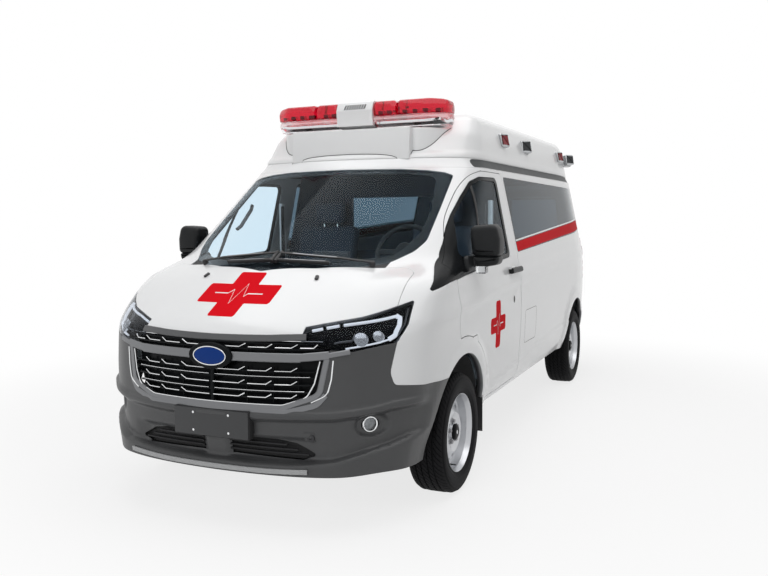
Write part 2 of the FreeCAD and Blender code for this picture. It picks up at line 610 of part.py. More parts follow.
def underbody():
    """Engine with gearbox, exhaust, fuel tank and the spare wheel under the load floor."""
    block = box(-330, 330, FRONT - 620, FRONT - 190, RAIL_Z, 960)
    gearbox = box(-110, 110, FRONT - 300, FRONT + 420, AXLE_Z - 20, RAIL_Z)
    keep("engine_block", block.fuse(gearbox))
    pipe_z = RAIL_Z - 46
    pipe = Part.makeCylinder(28, REAR - 900 - FRONT + 500, Vector(250, FRONT - 500, pipe_z),
                             Vector(0, 1, 0))
    flange = Part.makeCylinder(34, 46, Vector(250, FRONT - 450, pipe_z))
    drum = Part.makeCylinder(74, 480, Vector(250, REAR - 950, pipe_z - 30), Vector(0, 1, 0))
    tail = Part.makeCylinder(26, 230, Vector(250, REAR - 480, pipe_z - 40), Vector(0, 1, 0))
    hanger = box(240, 260, REAR - 515, REAR - 485, pipe_z, RAIL_Z + 10)
    keep("exhaust", pipe.fuse([flange, drum, tail, hanger]))
    keep("fuel_tank", box(-420, -60, FRONT + 900, FRONT + 1600, 230, RAIL_Z))
    half = TYRE_W / 2
    middle = RAIL_Z - 10 - half
    tread = Part.makeCylinder(TYRE_R - 4, TYRE_W, Vector(0, 0, -half))
    tread = tread.makeChamfer(28, [e for e in tread.Edges if e.Length > 1000])
    well = Part.makeCylinder(RIM_R - 12, TYRE_W, Vector(0, 0, -half))
    web = RAIL_Z - 90 - middle
    disc = Part.makeCylinder(RIM_R - 5, 16, Vector(0, 0, web - 16))
    spare = tread.cut(well).fuse(disc)
    keep("spare_wheel", spare.translated(Vector(0, REAR + 560, middle)))


def cab_inside():
    dash = prism(front([(-60, 1010, 20), (-60, 1235, 60), (250, 1245, 60), (380, 1120, 60),
                        (300, 980, 40)]), "x", -860, 860)
    keep("dashboard", dash.common(envelope(WALL + 10, SLOPE_WALL + 60, ROOF_WALL)))
    seats = []
    for x in (460, -460):
        base = box(x - 230, x + 230, FRONT + 560, FRONT + 1020, FLOOR_Z, 780)
        pad = prism(front([(520, 780, 30), (520, 900, 50), (1040, 885, 20), (1040, 780, 20)]),
                    "x", x - 250, x + 250)
        back = prism(front([(985, 880, 20), (1110, 1480, 40), (1240, 1480, 40), (1150, 880, 20)]),
                     "x", x - 240, x + 240)
        rest = prism(front([(1140, 1470), (1150, 1680, 40), (1235, 1680, 40), (1225, 1470)]),
                     "x", x - 130, x + 130)
        seats.append(base.fuse([pad, back, rest]))
    keep("seats", seats)
    rim = Part.makeTorus(185, 16)
    hub = Part.makeCylinder(60, 40, Vector(0, 0, -20))
    spokes = [box(-180, 180, -18, 18, -8, 8), box(-18, 18, -180, 0, -8, 8)]
    wheel_solid = rim.fuse([hub] + spokes)
    wheel_solid.rotate(Vector(0, 0, 0), Vector(1, 0, 0), 62)
    keep("steering_wheel", wheel_solid.translated(Vector(440, FRONT + 470, 1330)))


def load_space():
    """Cabinet on the left, bench seat over the right arch and a stretcher on the floor."""
    start = FRONT + PARTITION_Y + 25
    keep("cabinet", box(LINER_INNER_X - 60, 890, start, REAR - 480, FLOOR_Z, 1240))
    top = AXLE_Z + ARCH_R + LINER_WALL + 4
    base = box(-800, -500, REAR - 760, REAR - 480, FLOOR_Z, top)
    pad = box(-800, -480, REAR - 760, REAR + 860, top, top + 120)
    keep("bench", base.fuse(pad))
    bed_y = REAR - 1150
    bed = prism([(bed_y, 860), (bed_y, 940, 20), (bed_y + 1380, 940), (bed_y + 1950, 1190, 20),
                 (bed_y + 1950, 1100), (bed_y + 1420, 860)], "x", -280, 280)
    rails = box(-250, 250, bed_y + 60, bed_y + 1900, 800, 860)
    legs = [box(x - 22, x + 22, bed_y + y - 22, bed_y + y + 22, FLOOR_Z, 800)
            for x in (-228, 228) for y in (160, 1740)]
    keep("stretcher", rails.fuse([bed] + legs))


def roof_gear():
    y0, y1 = BAR_Y
    z0, z1 = BAR_Z
    mid = (y0 + y1) / 2
    plan = prism(front_plan([(-520, y0), (520, y0), (628, y0 + 70, 30), (636, mid + 50, 40),
                             (560, y1), (-560, y1), (-636, mid + 50, 40), (-628, y0 + 70, 30)]), "z",
                 z0, z1)
    side = prism(front([(y0 + 10, z0), (y0, z0 + 40), (y0 + 30, z1), (y1 - 30, z1), (y1, z0 + 40),
                        (y1 - 10, z0)]), "x", -700, 700)
    speaker = prism(front([(y0 - 6, z0 - 4), (y0 - 6, z0 + 70), (y0 + 22, z1 + 6), (y1 - 22, z1 + 6),
                           (y1 + 6, z0 + 70), (y1 + 6, z0 - 4)]), "x", -132, 132)
    feet = [box(x - 30, x + 30, FRONT + mid - 40, FRONT + mid + 40, SIGN_TOP_Z, z0 + 10)
            for x in (-400, 400)]
    keep("light_bar", plan.common(side).fuse([speaker] + feet).cut(OUTER))
    sign = prism(front_plan([(-SIGN_HALF, SIGN_Y), (SIGN_HALF, SIGN_Y), (600, 1000), (-600, 1000)]),
                 "z", SIGN_TOP_Z - 205, SIGN_TOP_Z)
    keep("sign_box", sign.cut(OUTER))
    lamps = []
    for y in LAMP_YS:
        lamps += both(box(700, 800, FRONT + y - 60, FRONT + y + 60, 2040, 2140).cut(OUTER))
    keep("side_lamps", lamps)


def mirrors():
    plan = prism(front_plan([(945, 190, 30), (965, 330, 40), (1120, 355, 50), (1132, 200, 50)]),
                 "z", 1270, 1520)
    face = prism([(948, 1284, 30), (945, 1500, 40), (1118, 1512, 50), (1132, 1300, 50)], "y",
                 FRONT, FRONT + 500)
    arm = box(900, 1010, FRONT + 205, FRONT + 300, 1245, 1290)
    mirror = plan.common(face).fuse(arm).cut(OUTER)
    keep("mirror_left", mirror)
    keep("mirror_right", mirrored(mirror))


WHEELS = [("front_left", FRONT, 1), ("front_right", FRONT, -1),
          ("rear_left", REAR, 1), ("rear_right", REAR, -1)]


def main():
    front_doors()
    rear_doors()
    upper_body()
    cab_frame()
    nose()
    side_panels()
    floor_and_walls()
    for name, y, side in WHEELS:
        wheel(name, y, side)
    knuckle()
    chassis()
    rear_suspension()
    underbody()
    cab_inside()
    load_space()
    roof_gear()
    mirrors()
    for node, shape in sorted(NODES.items()):
        if not shape.Solids:
            print("EMPTY", node)
            continue
        shape.exportStep("parts/%s.step" % node)
        bounds = shape.BoundBox
        print("%-20s %2d solids %8.1f litres x %.0f %.0f y %.0f %.0f z %.0f %.0f" % (
            node, len(shape.Solids), shape.Volume / 1e6, bounds.XMin, bounds.XMax,
            bounds.YMin, bounds.YMax, bounds.ZMin, bounds.ZMax), shape.isValid())


main()
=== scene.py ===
# %% [markdown]
# # Dressing a high-roof ambulance
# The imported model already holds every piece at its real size: walls, doors, axles, wheels.
# What it lacks is the look of the real thing. This lesson dresses it piece by piece. The
# frame is loaded first, and its box is measured at once, because nothing that is added
# later may stand outside it.

# %% Load the frame
import math
import bmesh
import bpy
import numpy as np
from mathutils import Matrix, Vector
from mathutils.bvhtree import BVHTree
from mathutils.geometry import delaunay_2d_cdt


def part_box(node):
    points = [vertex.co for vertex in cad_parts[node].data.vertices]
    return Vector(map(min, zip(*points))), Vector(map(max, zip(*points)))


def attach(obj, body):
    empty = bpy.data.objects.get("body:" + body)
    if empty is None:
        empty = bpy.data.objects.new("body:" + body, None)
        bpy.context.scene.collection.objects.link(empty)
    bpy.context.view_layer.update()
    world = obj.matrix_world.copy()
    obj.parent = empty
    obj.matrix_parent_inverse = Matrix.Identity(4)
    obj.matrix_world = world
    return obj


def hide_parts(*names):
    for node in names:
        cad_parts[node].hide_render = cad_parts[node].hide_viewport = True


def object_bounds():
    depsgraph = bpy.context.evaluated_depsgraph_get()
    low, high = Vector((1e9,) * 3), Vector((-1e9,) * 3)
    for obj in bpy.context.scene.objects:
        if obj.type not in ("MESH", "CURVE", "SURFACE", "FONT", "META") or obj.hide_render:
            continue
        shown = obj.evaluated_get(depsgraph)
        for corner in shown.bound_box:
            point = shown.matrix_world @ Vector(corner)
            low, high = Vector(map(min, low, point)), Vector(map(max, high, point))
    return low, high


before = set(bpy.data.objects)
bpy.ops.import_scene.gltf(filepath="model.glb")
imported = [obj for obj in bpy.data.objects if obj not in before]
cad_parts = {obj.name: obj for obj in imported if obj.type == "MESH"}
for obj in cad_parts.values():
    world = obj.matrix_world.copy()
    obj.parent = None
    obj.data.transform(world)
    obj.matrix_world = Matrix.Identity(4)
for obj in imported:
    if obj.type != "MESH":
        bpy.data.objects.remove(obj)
CAD_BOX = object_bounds()
MM = .001
print("frame box", [round(v, 3) for v in CAD_BOX[0]], [round(v, 3) for v in CAD_BOX[1]])


# %% Measures taken from the frame
def middle(node):
    """Centre of a frame node's box."""
    low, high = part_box(node)
    return (low + high) / 2


FRONT = middle("tyre_front_left").y
REAR = middle("tyre_rear_left").y
AXLE_Z = middle("tyre_front_left").z
TYRE_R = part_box("tyre_front_left")[1].z / 2
TRACK_HALF = middle("tyre_front_left").x
print("axles at", round(FRONT, 3), round(REAR, 3), "tyre radius", round(TYRE_R, 3))

# %% [markdown]
# ## The body surface
# A van's skin is one smooth surface that is cut into panels by its shut lines. If each panel
# were modelled alone, the reflections would jump from one to the next. So the whole skin is
# worked out once, as a grid: a few plan outlines at set heights, blurred together along and
# across, and then every panel is cut out of that one grid. The seven numbers of a row are
# the height, half width, nose, where the bow of the nose ends, where the straight side
# starts and where the tail is. Nose values count from the front axle, the tail's from the
# rear axle.

# %% Plan outlines at set heights
LEVELS = np.array([
    (300, 880, -950, 600, -895, -600, 975),
    (340, 905, -968, 600, -905, -600, 985),
    (500, 965, -995, 610, -905, -560, 1000),
    (760, 986, -998, 610, -890, -540, 1000),
    (985, 989, -975, 600, -885, -505, 1000),
    (1010, 990, -955, 600, -872, -495, 1000),
    (1236, 970, -567, 600, -480, -230, 1000),
    (1285, 958, -500, 620, -225, 220, 998),
    (1858, 836, 450, 580, 565, 905, 975),
    (1870, 834, 470, 580, 585, 915, 975),
    (1912, 806, 525, 560, 615, 945, 972),
    (2100, 772, 715, 480, 750, 1000, 960),
    (2200, 740, 860, 460, 900, 1120, 955),
    (2400, 650, 1100, 420, 1150, 1350, 945),
]) * MM
TAPER_START, TAPER_END, TAPER_IN, TAIL_CORNER = -.050, .900, .107, .100
NOSE_BULGE, TAPER_BULGE, TAIL_BULGE = .17, .028, .2      # share of the chord
ROWS = np.arange(.300, 2.3701, .010)
COUNTS = (56, 46, 120, 60, 16, 50)      # samples on bow, corner, side, taper, tail corner, tail


def arc_points(a, b, bulge, count):
    """Points on an arc from a towards b that bulges to the right by that share of the chord."""
    a, b = np.array(a), np.array(b)
    chord = b - a
    length = np.hypot(*chord)
    normal = np.array([chord[1], -chord[0]]) / length
    sag = bulge * length
    radius = (length ** 2 / 4 + sag ** 2) / (2 * sag)
    centre = (a + b) / 2 + normal * (sag - radius)
    start = math.atan2(*(a - centre)[::-1])
    turn = math.atan2(*(b - centre)[::-1]) - start
    turn = (turn + math.pi) % (2 * math.pi) - math.pi
    angles = start + turn * np.arange(count) / count
    return centre + radius * np.stack([np.cos(angles), np.sin(angles)], 1)


def plan_half(level):
    """Half outline, from the middle of the nose round the left side to the middle of the tail."""
    half, nose, bow_x, bow_y, start, tail = level
    tip = np.array([0.0, FRONT + nose])
    bow = np.array([bow_x, FRONT + bow_y])
    fore = np.array([half, FRONT + start])
    aft = np.array([half, REAR + TAPER_START])
    end = np.array([half - TAPER_IN, REAR + TAPER_END])
    back = np.array([half - TAPER_IN - TAIL_CORNER, REAR + tail])
    last = np.array([0.0, back[1]])
    rise = bow[1] - tip[1]
    radius = (bow[0] ** 2 + rise ** 2) / (2 * rise)
    swing = math.asin(bow[0] / radius)
    angles = swing * np.arange(COUNTS[0]) / COUNTS[0]
    nose_arc = np.stack([radius * np.sin(angles), tip[1] + radius * (1 - np.cos(angles))], 1)
    share = np.arange(COUNTS[2])[:, None] / COUNTS[2]
    tail_share = np.arange(COUNTS[5] + 1)[:, None] / COUNTS[5]
    return np.vstack([nose_arc, arc_points(bow, fore, NOSE_BULGE, COUNTS[1]),
                      fore + (aft - fore) * share, arc_points(aft, end, TAPER_BULGE, COUNTS[3]),
                      arc_points(end, back, TAIL_BULGE, COUNTS[4]), back + (last - back) * tail_share])


def blurred(values, places, widths):
    """Weighted average of rows of values, with a bell of its own width at each place."""
    gap = places[:, None] - places[None, :]
    weight = np.exp(-.5 * (gap / widths[:, None]) ** 2)
    weight *= np.gradient(places)[None, :]
    return np.tensordot(weight / weight.sum(1, keepdims=True), values, 1)


def body_grid():
    """x and y of the skin on a grid of heights and places round the body."""
    columns = [np.interp(ROWS, LEVELS[:, 0], LEVELS[:, k]) for k in range(1, 7)]
    grid = np.array([plan_half(row) for row in np.array(columns).T])
    reference = grid[np.argmin(abs(ROWS - 1.0))]
    steps = np.hypot(*np.diff(reference, axis=0).T)
    around = np.concatenate([[0], np.cumsum(steps)])
    n = len(around)
    flip = np.array([-1.0, 1.0])
    whole = np.concatenate([grid[:, :0:-1] * flip, grid, grid[:, -2::-1] * flip], 1)
    places = np.concatenate([-around[:0:-1], around, 2 * around[-1] - around[-2::-1]])
    widths = np.interp(abs(places), [0, 1.2, 1.6, 4.8, 5.6, 6.6], [.05, .06, .08, .08, .03, .03])
    whole = np.swapaxes(blurred(np.swapaxes(whole, 0, 1), places, widths), 0, 1)
    grid = whole[:, n - 1:2 * n - 1]
    narrow = np.interp(ROWS, [.3, .9, 1.05, 1.15, 1.8, 1.86, 2.1],
                       [.05, .03, .03, .05, .03, .006, .006])
    wide = np.interp(ROWS, [.3, 1.75, 1.86, 2.1], [.07, .05, .006, .006])
    side = np.clip((around - .9) / .5, 0, 1)
    smooth = blurred(grid, ROWS, narrow)
    softer = blurred(grid, ROWS, wide)
    grid = smooth * (1 - side[None, :, None]) + softer * side[None, :, None]
    return around, grid


AROUND, SKIN = body_grid()
print("skin grid", SKIN.shape, "half way round is", round(AROUND[-1], 3), "m")

# %% [markdown]
# The skin is still too plain: a real side has a shoulder line pressed into it from the lamps
# to the tail, a second line low on the doors, and a lip that swells round each wheel. Each is
# a small push along the skin's own direction, worked out from a distance, so its height and
# softness are two numbers that can be tuned. The front corners are drawn in a little too.

# %% Pressed lines and wheel swellings
SHOULDER = ((-.90, .985), (-.65, 1.010), (.20, 1.046), (.72, 1.085), (2.6, 1.150), (4.4, 1.175))
LOWER_LINE = ((.45, .484), (2.15, .590), (4.30, .640))
SHOULDER_PUSH, LOWER_PUSH, ARCH_PUSH, CORNER_DROP = .011, .008, .014, .055
ARCH_REACH = .60


def bell(distance, width):
    return np.exp(-.5 * (distance / width) ** 2)


def grid_normals(grid):
    """Outward normals of a grid of 3-D points."""
    normal = np.cross(np.gradient(grid, axis=1), np.gradient(grid, axis=0))
    return normal / np.linalg.norm(normal, axis=2, keepdims=True)


def relief(grid):
    """How far the pressed lines and arches push the skin out, in metres."""
    y = grid[..., 1]
    z = np.repeat(ROWS[:, None], grid.shape[1], 1)
    side = np.clip((AROUND - .95) / .35, 0, 1) * np.clip((6.25 - AROUND) / .3, 0, 1)
    crest = np.interp(y - FRONT, *zip(*SHOULDER))
    above = np.clip((z - crest) / .10, 0, 1)
    below = np.clip((crest - z) / .055, 0, 1)
    push = SHOULDER_PUSH * bell(above, .5) * (z >= crest) + SHOULDER_PUSH * (1 - below) ** 2 * (z < crest)
    low = np.interp(y - FRONT, *zip(*LOWER_LINE))
    ahead = np.clip((y - FRONT - .45) / .25, 0, 1)
    under = np.clip(1 - (z - low) / .02, 0, 1)
    push = push + ahead * LOWER_PUSH * under * np.clip((z - .36) / .1, 0, 1)
    for axle in (FRONT, REAR):
        reach = np.hypot(y - axle, z - AXLE_Z)
        swell = np.clip((ARCH_REACH - reach) / .10, 0, 1)
        push = push + ARCH_PUSH * swell ** 2 * (3 - 2 * swell)
    corner = bell(AROUND - .92, .20) * np.clip((1.22 - z) / .20, 0, 1)
    return push * side - CORNER_DROP * corner


def pressed(grid):
    """The skin grid with its third coordinate and the relief added."""
    solid = np.concatenate([grid, np.repeat(ROWS[:, None, None], grid.shape[1], 1)], 2)
    return solid + grid_normals(solid) * relief(grid)[..., None]


SKIN3 = pressed(SKIN)
NORMALS = grid_normals(SKIN3)
print("relief up to", round(float(relief(SKIN).max()) * 1000, 1), "mm")


# %% Looking a point up on the skin
def sample(table, around, height):
    """Bilinear value of a grid at places round the body and heights; negative is the right side."""
    around, height = np.asarray(around, float), np.asarray(height, float)
    column = np.clip(np.interp(abs(around), AROUND, np.arange(len(AROUND))), 0, len(AROUND) - 1.001)
    row = np.clip((height - ROWS[0]) / (ROWS[1] - ROWS[0]), 0, len(ROWS) - 1.001)
    i, j = row.astype(int), column.astype(int)
    a, b = (row - i)[..., None], (column - j)[..., None]
    value = ((table[i, j] * (1 - b) + table[i, j + 1] * b) * (1 - a)
             + (table[i + 1, j] * (1 - b) + table[i + 1, j + 1] * b) * a)
    value[..., 0] *= np.where(around < 0, -1, 1)
    return value


def skin_point(uv):
    uv = np.atleast_2d(uv)
    return sample(SKIN3, uv[:, 0], uv[:, 1])


def skin_normal(uv):
    uv = np.atleast_2d(uv)
    return sample(NORMALS, uv[:, 0], uv[:, 1])


def row_at(height):
    """The skin's outline at one height."""
    return sample(SKIN3, AROUND, np.full(len(AROUND), height))


def from_front(x, z):
    """Place on the skin that is seen at (x, z) from ahead."""
    outline = row_at(z)
    ahead = AROUND < 2.0
    u = np.interp(abs(x), np.maximum.accumulate(outline[ahead, 0]), AROUND[ahead])
    return (math.copysign(u, x) if x else 0.0, z)


def from_side(y, z, side=1):
    """Place on the skin that is seen at (y, z) from the left, or from the right with side -1."""
    outline = row_at(z)
    return (side * float(np.interp(y, np.maximum.accumulate(outline[:, 1]), AROUND)), z)


def from_behind(x, z):
    """Place on the skin that is seen at (x, z) from the tail."""
    outline = row_at(z)[::-1]
    behind = AROUND[::-1] > 5.4
    u = np.interp(abs(x), np.maximum.accumulate(outline[behind, 0]), AROUND[::-1][behind])
    return (math.copysign(u, x) if x else AROUND[-1], z)


def from_above(x, y):
    """Place on the skin, forward of the doors, that is seen at (x, y) from above."""
    heights = ROWS[(ROWS > .98) & (ROWS < 1.40)]
    reach = [float(np.interp(abs(from_front(x, z)[0]), AROUND, row_at(z)[:, 1])) for z in heights]
    z = float(np.interp(y, np.maximum.accumulate(reach), heights))
    return from_front(x, z)


print("a point low on the left door", np.round(skin_point([from_side(FRONT + .9, .7)])[0], 3))

# %% [markdown]
# ## Cutting a panel
# A panel is worked out on the flat of (place round the body, height). Outlines are drawn
# there, one for each shut line, opening or arch. The space is filled with an even net of
# points and joined by constrained triangles that follow every outline, also where two cross.
# A rule then says which triangles belong to the panel, such as inside the door but outside
# its window. So neighbours share one shut line without a boolean. The rim is rolled over
# like hemmed sheet: that small roll is what catches the light along a real shut line.


# %% Outline tools
def rounded(corners, steps=6):
    """Points of an outline from (a, b, radius) corners."""
    points = []
    n = len(corners)
    for i, corner in enumerate(corners):
        p = np.array(corner[:2], float)
        r = corner[2] if len(corner) > 2 else 0
        if r <= 0:
            points.append(p)
            continue
        before = np.array(corners[i - 1][:2]) - p
        after = np.array(corners[(i + 1) % n][:2]) - p
        before, after = before / np.hypot(*before), after / np.hypot(*after)
        half = math.acos(np.clip(before @ after, -1, 1)) / 2
        way = before + after
        centre = p + way / np.hypot(*way) * r / math.sin(half)
        start = p + before * r / math.tan(half) - centre
        end = p + after * r / math.tan(half) - centre
        for k in range(steps + 1):
            ray = start * (1 - k / steps) + end * k / steps
            points.append(centre + ray / np.hypot(*ray) * r)
    return np.array(points)


def divided(points, step, closed=True):
    """An outline or path with no stretch longer than step."""
    points = np.asarray(points, float)
    following = np.roll(points, -1, axis=0) if closed else points[1:]
    out = []
    for a, b in zip(points, following):
        count = max(1, int(math.ceil(np.hypot(*(b - a)[:2]) / step)))
        out += [a + (b - a) * k / count for k in range(count)]
    return np.array(out if closed else out + [points[-1]])


def inside(points, loop):
    """Whether each point is within a closed outline."""
    hit = np.zeros(len(points), bool)
    for p, q in zip(loop, np.roll(loop, -1, axis=0)):
        if q[1] == p[1]:
            continue
        cross = (p[1] > points[:, 1]) != (q[1] > points[:, 1])
        border = p[0] + (points[:, 1] - p[1]) / (q[1] - p[1]) * (q[0] - p[0])
        hit ^= cross & (points[:, 0] < border)
    return hit


def clearance(points, edge):
    """Distance from each point to the nearest outline point."""
    best = np.full(len(points), 9.0)
    for chunk in np.array_split(edge, max(1, len(edge) // 200)):
        apart = points[:, None] - chunk[None]
        best = np.minimum(best, np.hypot(apart[..., 0], apart[..., 1]).min(1))
    return best


def seen(place, corners, step=.020):
    """Outline in the skin's coordinates from (a, b, radius) corners in metres, seen from one side."""
    return np.array([place(a, b) for a, b in divided(rounded(corners), step)])


def sided(side, *loops):
    """The outlines as they are on the left with side 1, or on the right with side -1."""
    return [np.asarray(loop) * (side, 1.0) for loop in loops]


def both_sides(loop):
    return [loop, *sided(-1, loop)]


def whole(half, first=(), last=()):
    """Corners of a symmetric outline: first, one half, last, and the other half."""
    return [*first, *half, *last, *((-x, *rest) for x, *rest in half[::-1])]


def oblong(a0, a1, b0, b1, radius, steps=3):
    """Rounded rectangle."""
    return rounded([(a0, b0, radius), (a1, b0, radius), (a1, b1, radius), (a0, b1, radius)], steps)


def ellipse(a, b, count):
    return [(a * math.cos(t), b * math.sin(t)) for t in np.linspace(0, 2 * math.pi, count + 1)[:-1]]


def within(*loops):
    """Rule: inside any of these outlines."""
    return lambda uv: np.any([inside(uv, loop) for loop in loops], axis=0)


def less(outer, *holes):
    """Rule: inside the first outline and outside the others."""
    return lambda uv: inside(uv, outer) & ~within(*holes)(uv)


def sunk(depth):
    """Lift of a sheet that lies by that depth below the skin, or above it if negative."""
    return lambda uv, place: np.full(len(uv), -depth)


# %% The panel maker
def new_object(name, verts, faces):
    mesh = bpy.data.meshes.new(name)
    mesh.from_pydata([tuple(v) for v in verts], [], [tuple(f) for f in faces])
    mesh.polygons.foreach_set("use_smooth", [True] * len(mesh.polygons))
    mesh.update()
    obj = bpy.data.objects.new(name, mesh)
    bpy.context.scene.collection.objects.link(obj)
    return obj


def mended(obj, join=0.0, sliver=0.0, sharp=None):
    """Join points that meet, turn every face outward and part the edges sharper than an angle."""
    mesh = bmesh.new()
    mesh.from_mesh(obj.data)
    if join:
        bmesh.ops.remove_doubles(mesh, verts=mesh.verts, dist=join)
    if sliver:
        bmesh.ops.dissolve_degenerate(mesh, edges=mesh.edges, dist=sliver)
    bmesh.ops.recalc_face_normals(mesh, faces=mesh.faces)
    for edge in mesh.edges if sharp else ():
        if len(edge.link_faces) == 2 and edge.calc_face_angle(0) > math.radians(sharp):
            edge.smooth = False
    mesh.to_mesh(obj.data)
    mesh.free()
    return obj


def unit(vectors):
    return vectors / (np.linalg.norm(vectors, axis=-1, keepdims=True) + 1e-12)


def net(loops, member, step, creases=()):
    """Triangles of the flat that pass the member rule, with edges along open creases too."""
    both = np.vstack([*loops, *creases])
    low, high = both.min(0), both.max(0)
    rows = np.arange(low[1] + step / 2, high[1], step * .87)
    grid = np.array([(low[0] + step * (k + .5 * (j % 2)), y) for j, y in enumerate(rows)
                     for k in range(int((high[0] - low[0]) / step) + 1)]).reshape(-1, 2)
    grid = grid[member(grid)]
    grid = grid[clearance(grid, both) > step * .55]
    verts = np.vstack([both, grid])
    edges, first = [], 0
    for loop in loops:
        edges += [(first + k, first + (k + 1) % len(loop)) for k in range(len(loop))]
        first += len(loop)
    for crease in creases:
        edges += [(first + k, first + k + 1) for k in range(len(crease) - 1)]
        first += len(crease)
    out, _, faces, _, _, _ = delaunay_2d_cdt([Vector(v) for v in verts], edges, [], 0, 1e-6)
    out = np.array([tuple(v) for v in out])
    faces = np.array(faces)
    a, b, c = (out[faces[:, k]] for k in range(3))
    area = (b - a)[:, 0] * (c - a)[:, 1] - (b - a)[:, 1] * (c - a)[:, 0]
    faces = faces[(abs(area) > 1e-9) & member((a + b + c) / 3)]
    used, packed = np.unique(faces, return_inverse=True)
    return out[used], packed.reshape(-1, 3)


def rims(faces):
    """Closed chains of the border edges, each running with the panel on its left."""
    edges = {(int(t[k]), int(t[(k + 1) % 3])) for t in faces for k in range(3)}
    onward = {}
    for a, b in edges:
        if (b, a) not in edges:
            onward.setdefault(a, []).append(b)
    chains = []
    while onward:
        start = next(iter(onward))
        chain, at = [], start
        while at in onward:
            chain.append(at)
            following = onward[at].pop()
            if not onward[at]:
                del onward[at]
            at = following
            if at == start:
                break
        if len(chain) > 2:
            chains.append(np.array(chain))
    return chains


ROLL = ((2.6, 0.0), (.8, .7), (0.0, 2.6))       # (in from the edge, below the face) in mm


def panel(name, loops, member, depth=.040, step=.030, roll=1.0, shrink=0.0, lift=None, creases=()):
    """Closed thick panel of the skin, with rolled rims. Slot 0 is its face, slot 1 its lining.

    member says which places belong to it; depth is a thickness or a function of the place;
    shrink draws the rim in, in mm; lift raises the face off the skin."""
    loops = [divided(loop, step * .7) for loop in loops]
    flat, tris = net(loops, member, step, creases)

    def surface(uv):
        place = skin_point(uv)
        if lift is None:
            return place
        return place + normal(uv) * np.asarray(lift(uv, place)).reshape(-1, 1)

    def normal(uv, of=skin_point, h=.004):
        across = of(uv + (h, 0)) - of(uv - (h, 0))
        upward = of(uv + (0, h)) - of(uv - (0, h))
        return unit(np.cross(across, upward))

    place = surface(flat)
    out = normal(flat, surface) if lift is not None else normal(flat)
    back = len(flat)
    thick = depth(place)[:, None] if callable(depth) else depth
    inner = place - normal(flat) * thick
    verts, normals = [place.copy(), inner], [out.copy(), -out]
    faces = [tuple(t) for t in tris] + [tuple(t[::-1] + back) for t in tris]
    slots = [0] * len(tris) + [1] * len(tris)
    count = 2 * back
    for ring in rims(tris):
        p, n = place[ring], out[ring]
        before, after = unit(p - np.roll(p, 1, axis=0)), unit(np.roll(p, -1, axis=0) - p)
        inward = unit(np.cross(n, unit(before + after)))
        spread = 1 / np.clip(np.sum(inward * np.cross(n, after), 1), .5, 1)
        previous = ring
        for k, (edge, low) in enumerate(ROLL):
            moved = p + (inward * ((edge * roll + shrink) * spread)[:, None] - n * low * roll) * MM
            if k == 0:
                verts[0][ring] = moved
                continue
            fresh = np.arange(count, count + len(ring))
            verts.append(moved)
            normals.append(unit(n * (2 - k) - inward * k))
            count += len(ring)
            faces += list(zip(np.roll(previous, -1), previous, fresh, np.roll(fresh, -1)))
            slots += [0] * len(ring)
            previous = fresh
        inner[ring] += inward * (shrink * spread)[:, None] * MM
        last = ring + back
        faces += list(zip(np.roll(previous, -1), previous, last, np.roll(last, -1)))
        slots += [1] * len(ring)
    verts, normals = np.vstack(verts), np.vstack(normals)
    obj = new_object(name, verts, faces)
    obj.data.polygons.foreach_set("material_index", slots)
    obj.data.normals_split_custom_set_from_vertices([tuple(v) for v in normals])
    return obj

# %% [markdown]
# ## Camera, light and floor
# The camera comes before the pieces, so that every piece can be judged as it is made. It
# stands a little above the bonnet and looks down at the left front corner. The light is
# that of a large studio: one wide lamp above, one ahead, one on the left, and a pale world
# that fills the shadows. Floor and world are made plain white by their colour, and a Light
# Path node shows that white to the camera and in reflections only.

# %% Camera
YAW, PITCH, ROLL_TURN = math.radians(23.74), math.radians(4.99), math.radians(.54)
camera = bpy.data.objects.new("camera", bpy.data.cameras.new("camera"))
bpy.context.scene.collection.objects.link(camera)
bpy.context.scene.camera = camera
camera.data.lens = 38.1
camera.data.shift_x, camera.data.shift_y = -.0043, -.0009
ahead = Vector((-math.sin(YAW) * math.cos(PITCH), math.cos(YAW) * math.cos(PITCH), -math.sin(PITCH)))
level = Vector((math.cos(YAW), math.sin(YAW), 0))
down = ahead.cross(level)
right = level * math.cos(ROLL_TURN) + down * math.sin(ROLL_TURN)
up = level * math.sin(ROLL_TURN) - down * math.cos(ROLL_TURN)
camera.matrix_world = Matrix((right, up, -ahead)).transposed().to_4x4()
camera.location = (2.410, -5.938, 1.558)
bpy.context.scene.view_settings.view_transform = "Standard"
print("camera at", tuple(round(v, 3) for v in camera.location))


# %% Shader node helpers
def nodes_of(owner):
    """Empty node tree of a material or world, as (nodes, links)."""
    owner.use_nodes = True
    owner.node_tree.nodes.clear()
    return owner.node_tree.nodes, owner.node_tree.links


def made(nodes, kind, values=(), **settings):
    """New node of a kind, with socket values as (socket, value) pairs and settings by name."""
    node = nodes.new("ShaderNode" + kind)
    for key, value in settings.items():
        setattr(node, key, value)
    for socket, value in values:
        node.inputs[socket].default_value = value
    return node


def combined(nodes, links, operation, first, second):
    """Output of a math node with two linked inputs."""
    node = made(nodes, "Math", operation=operation)
    links.new(first, node.inputs[0])
    links.new(second, node.inputs[1])
    return node.outputs[0]


def seen_directly(nodes, links):
    """1 where the eye, a reflection or a look through glass meets the surface."""
    path = made(nodes, "LightPath").outputs
    seen_or_reflected = combined(nodes, links, "MAXIMUM", path["Is Camera Ray"], path["Is Glossy Ray"])
    return combined(nodes, links, "MAXIMUM", seen_or_reflected, path["Is Transmission Ray"])


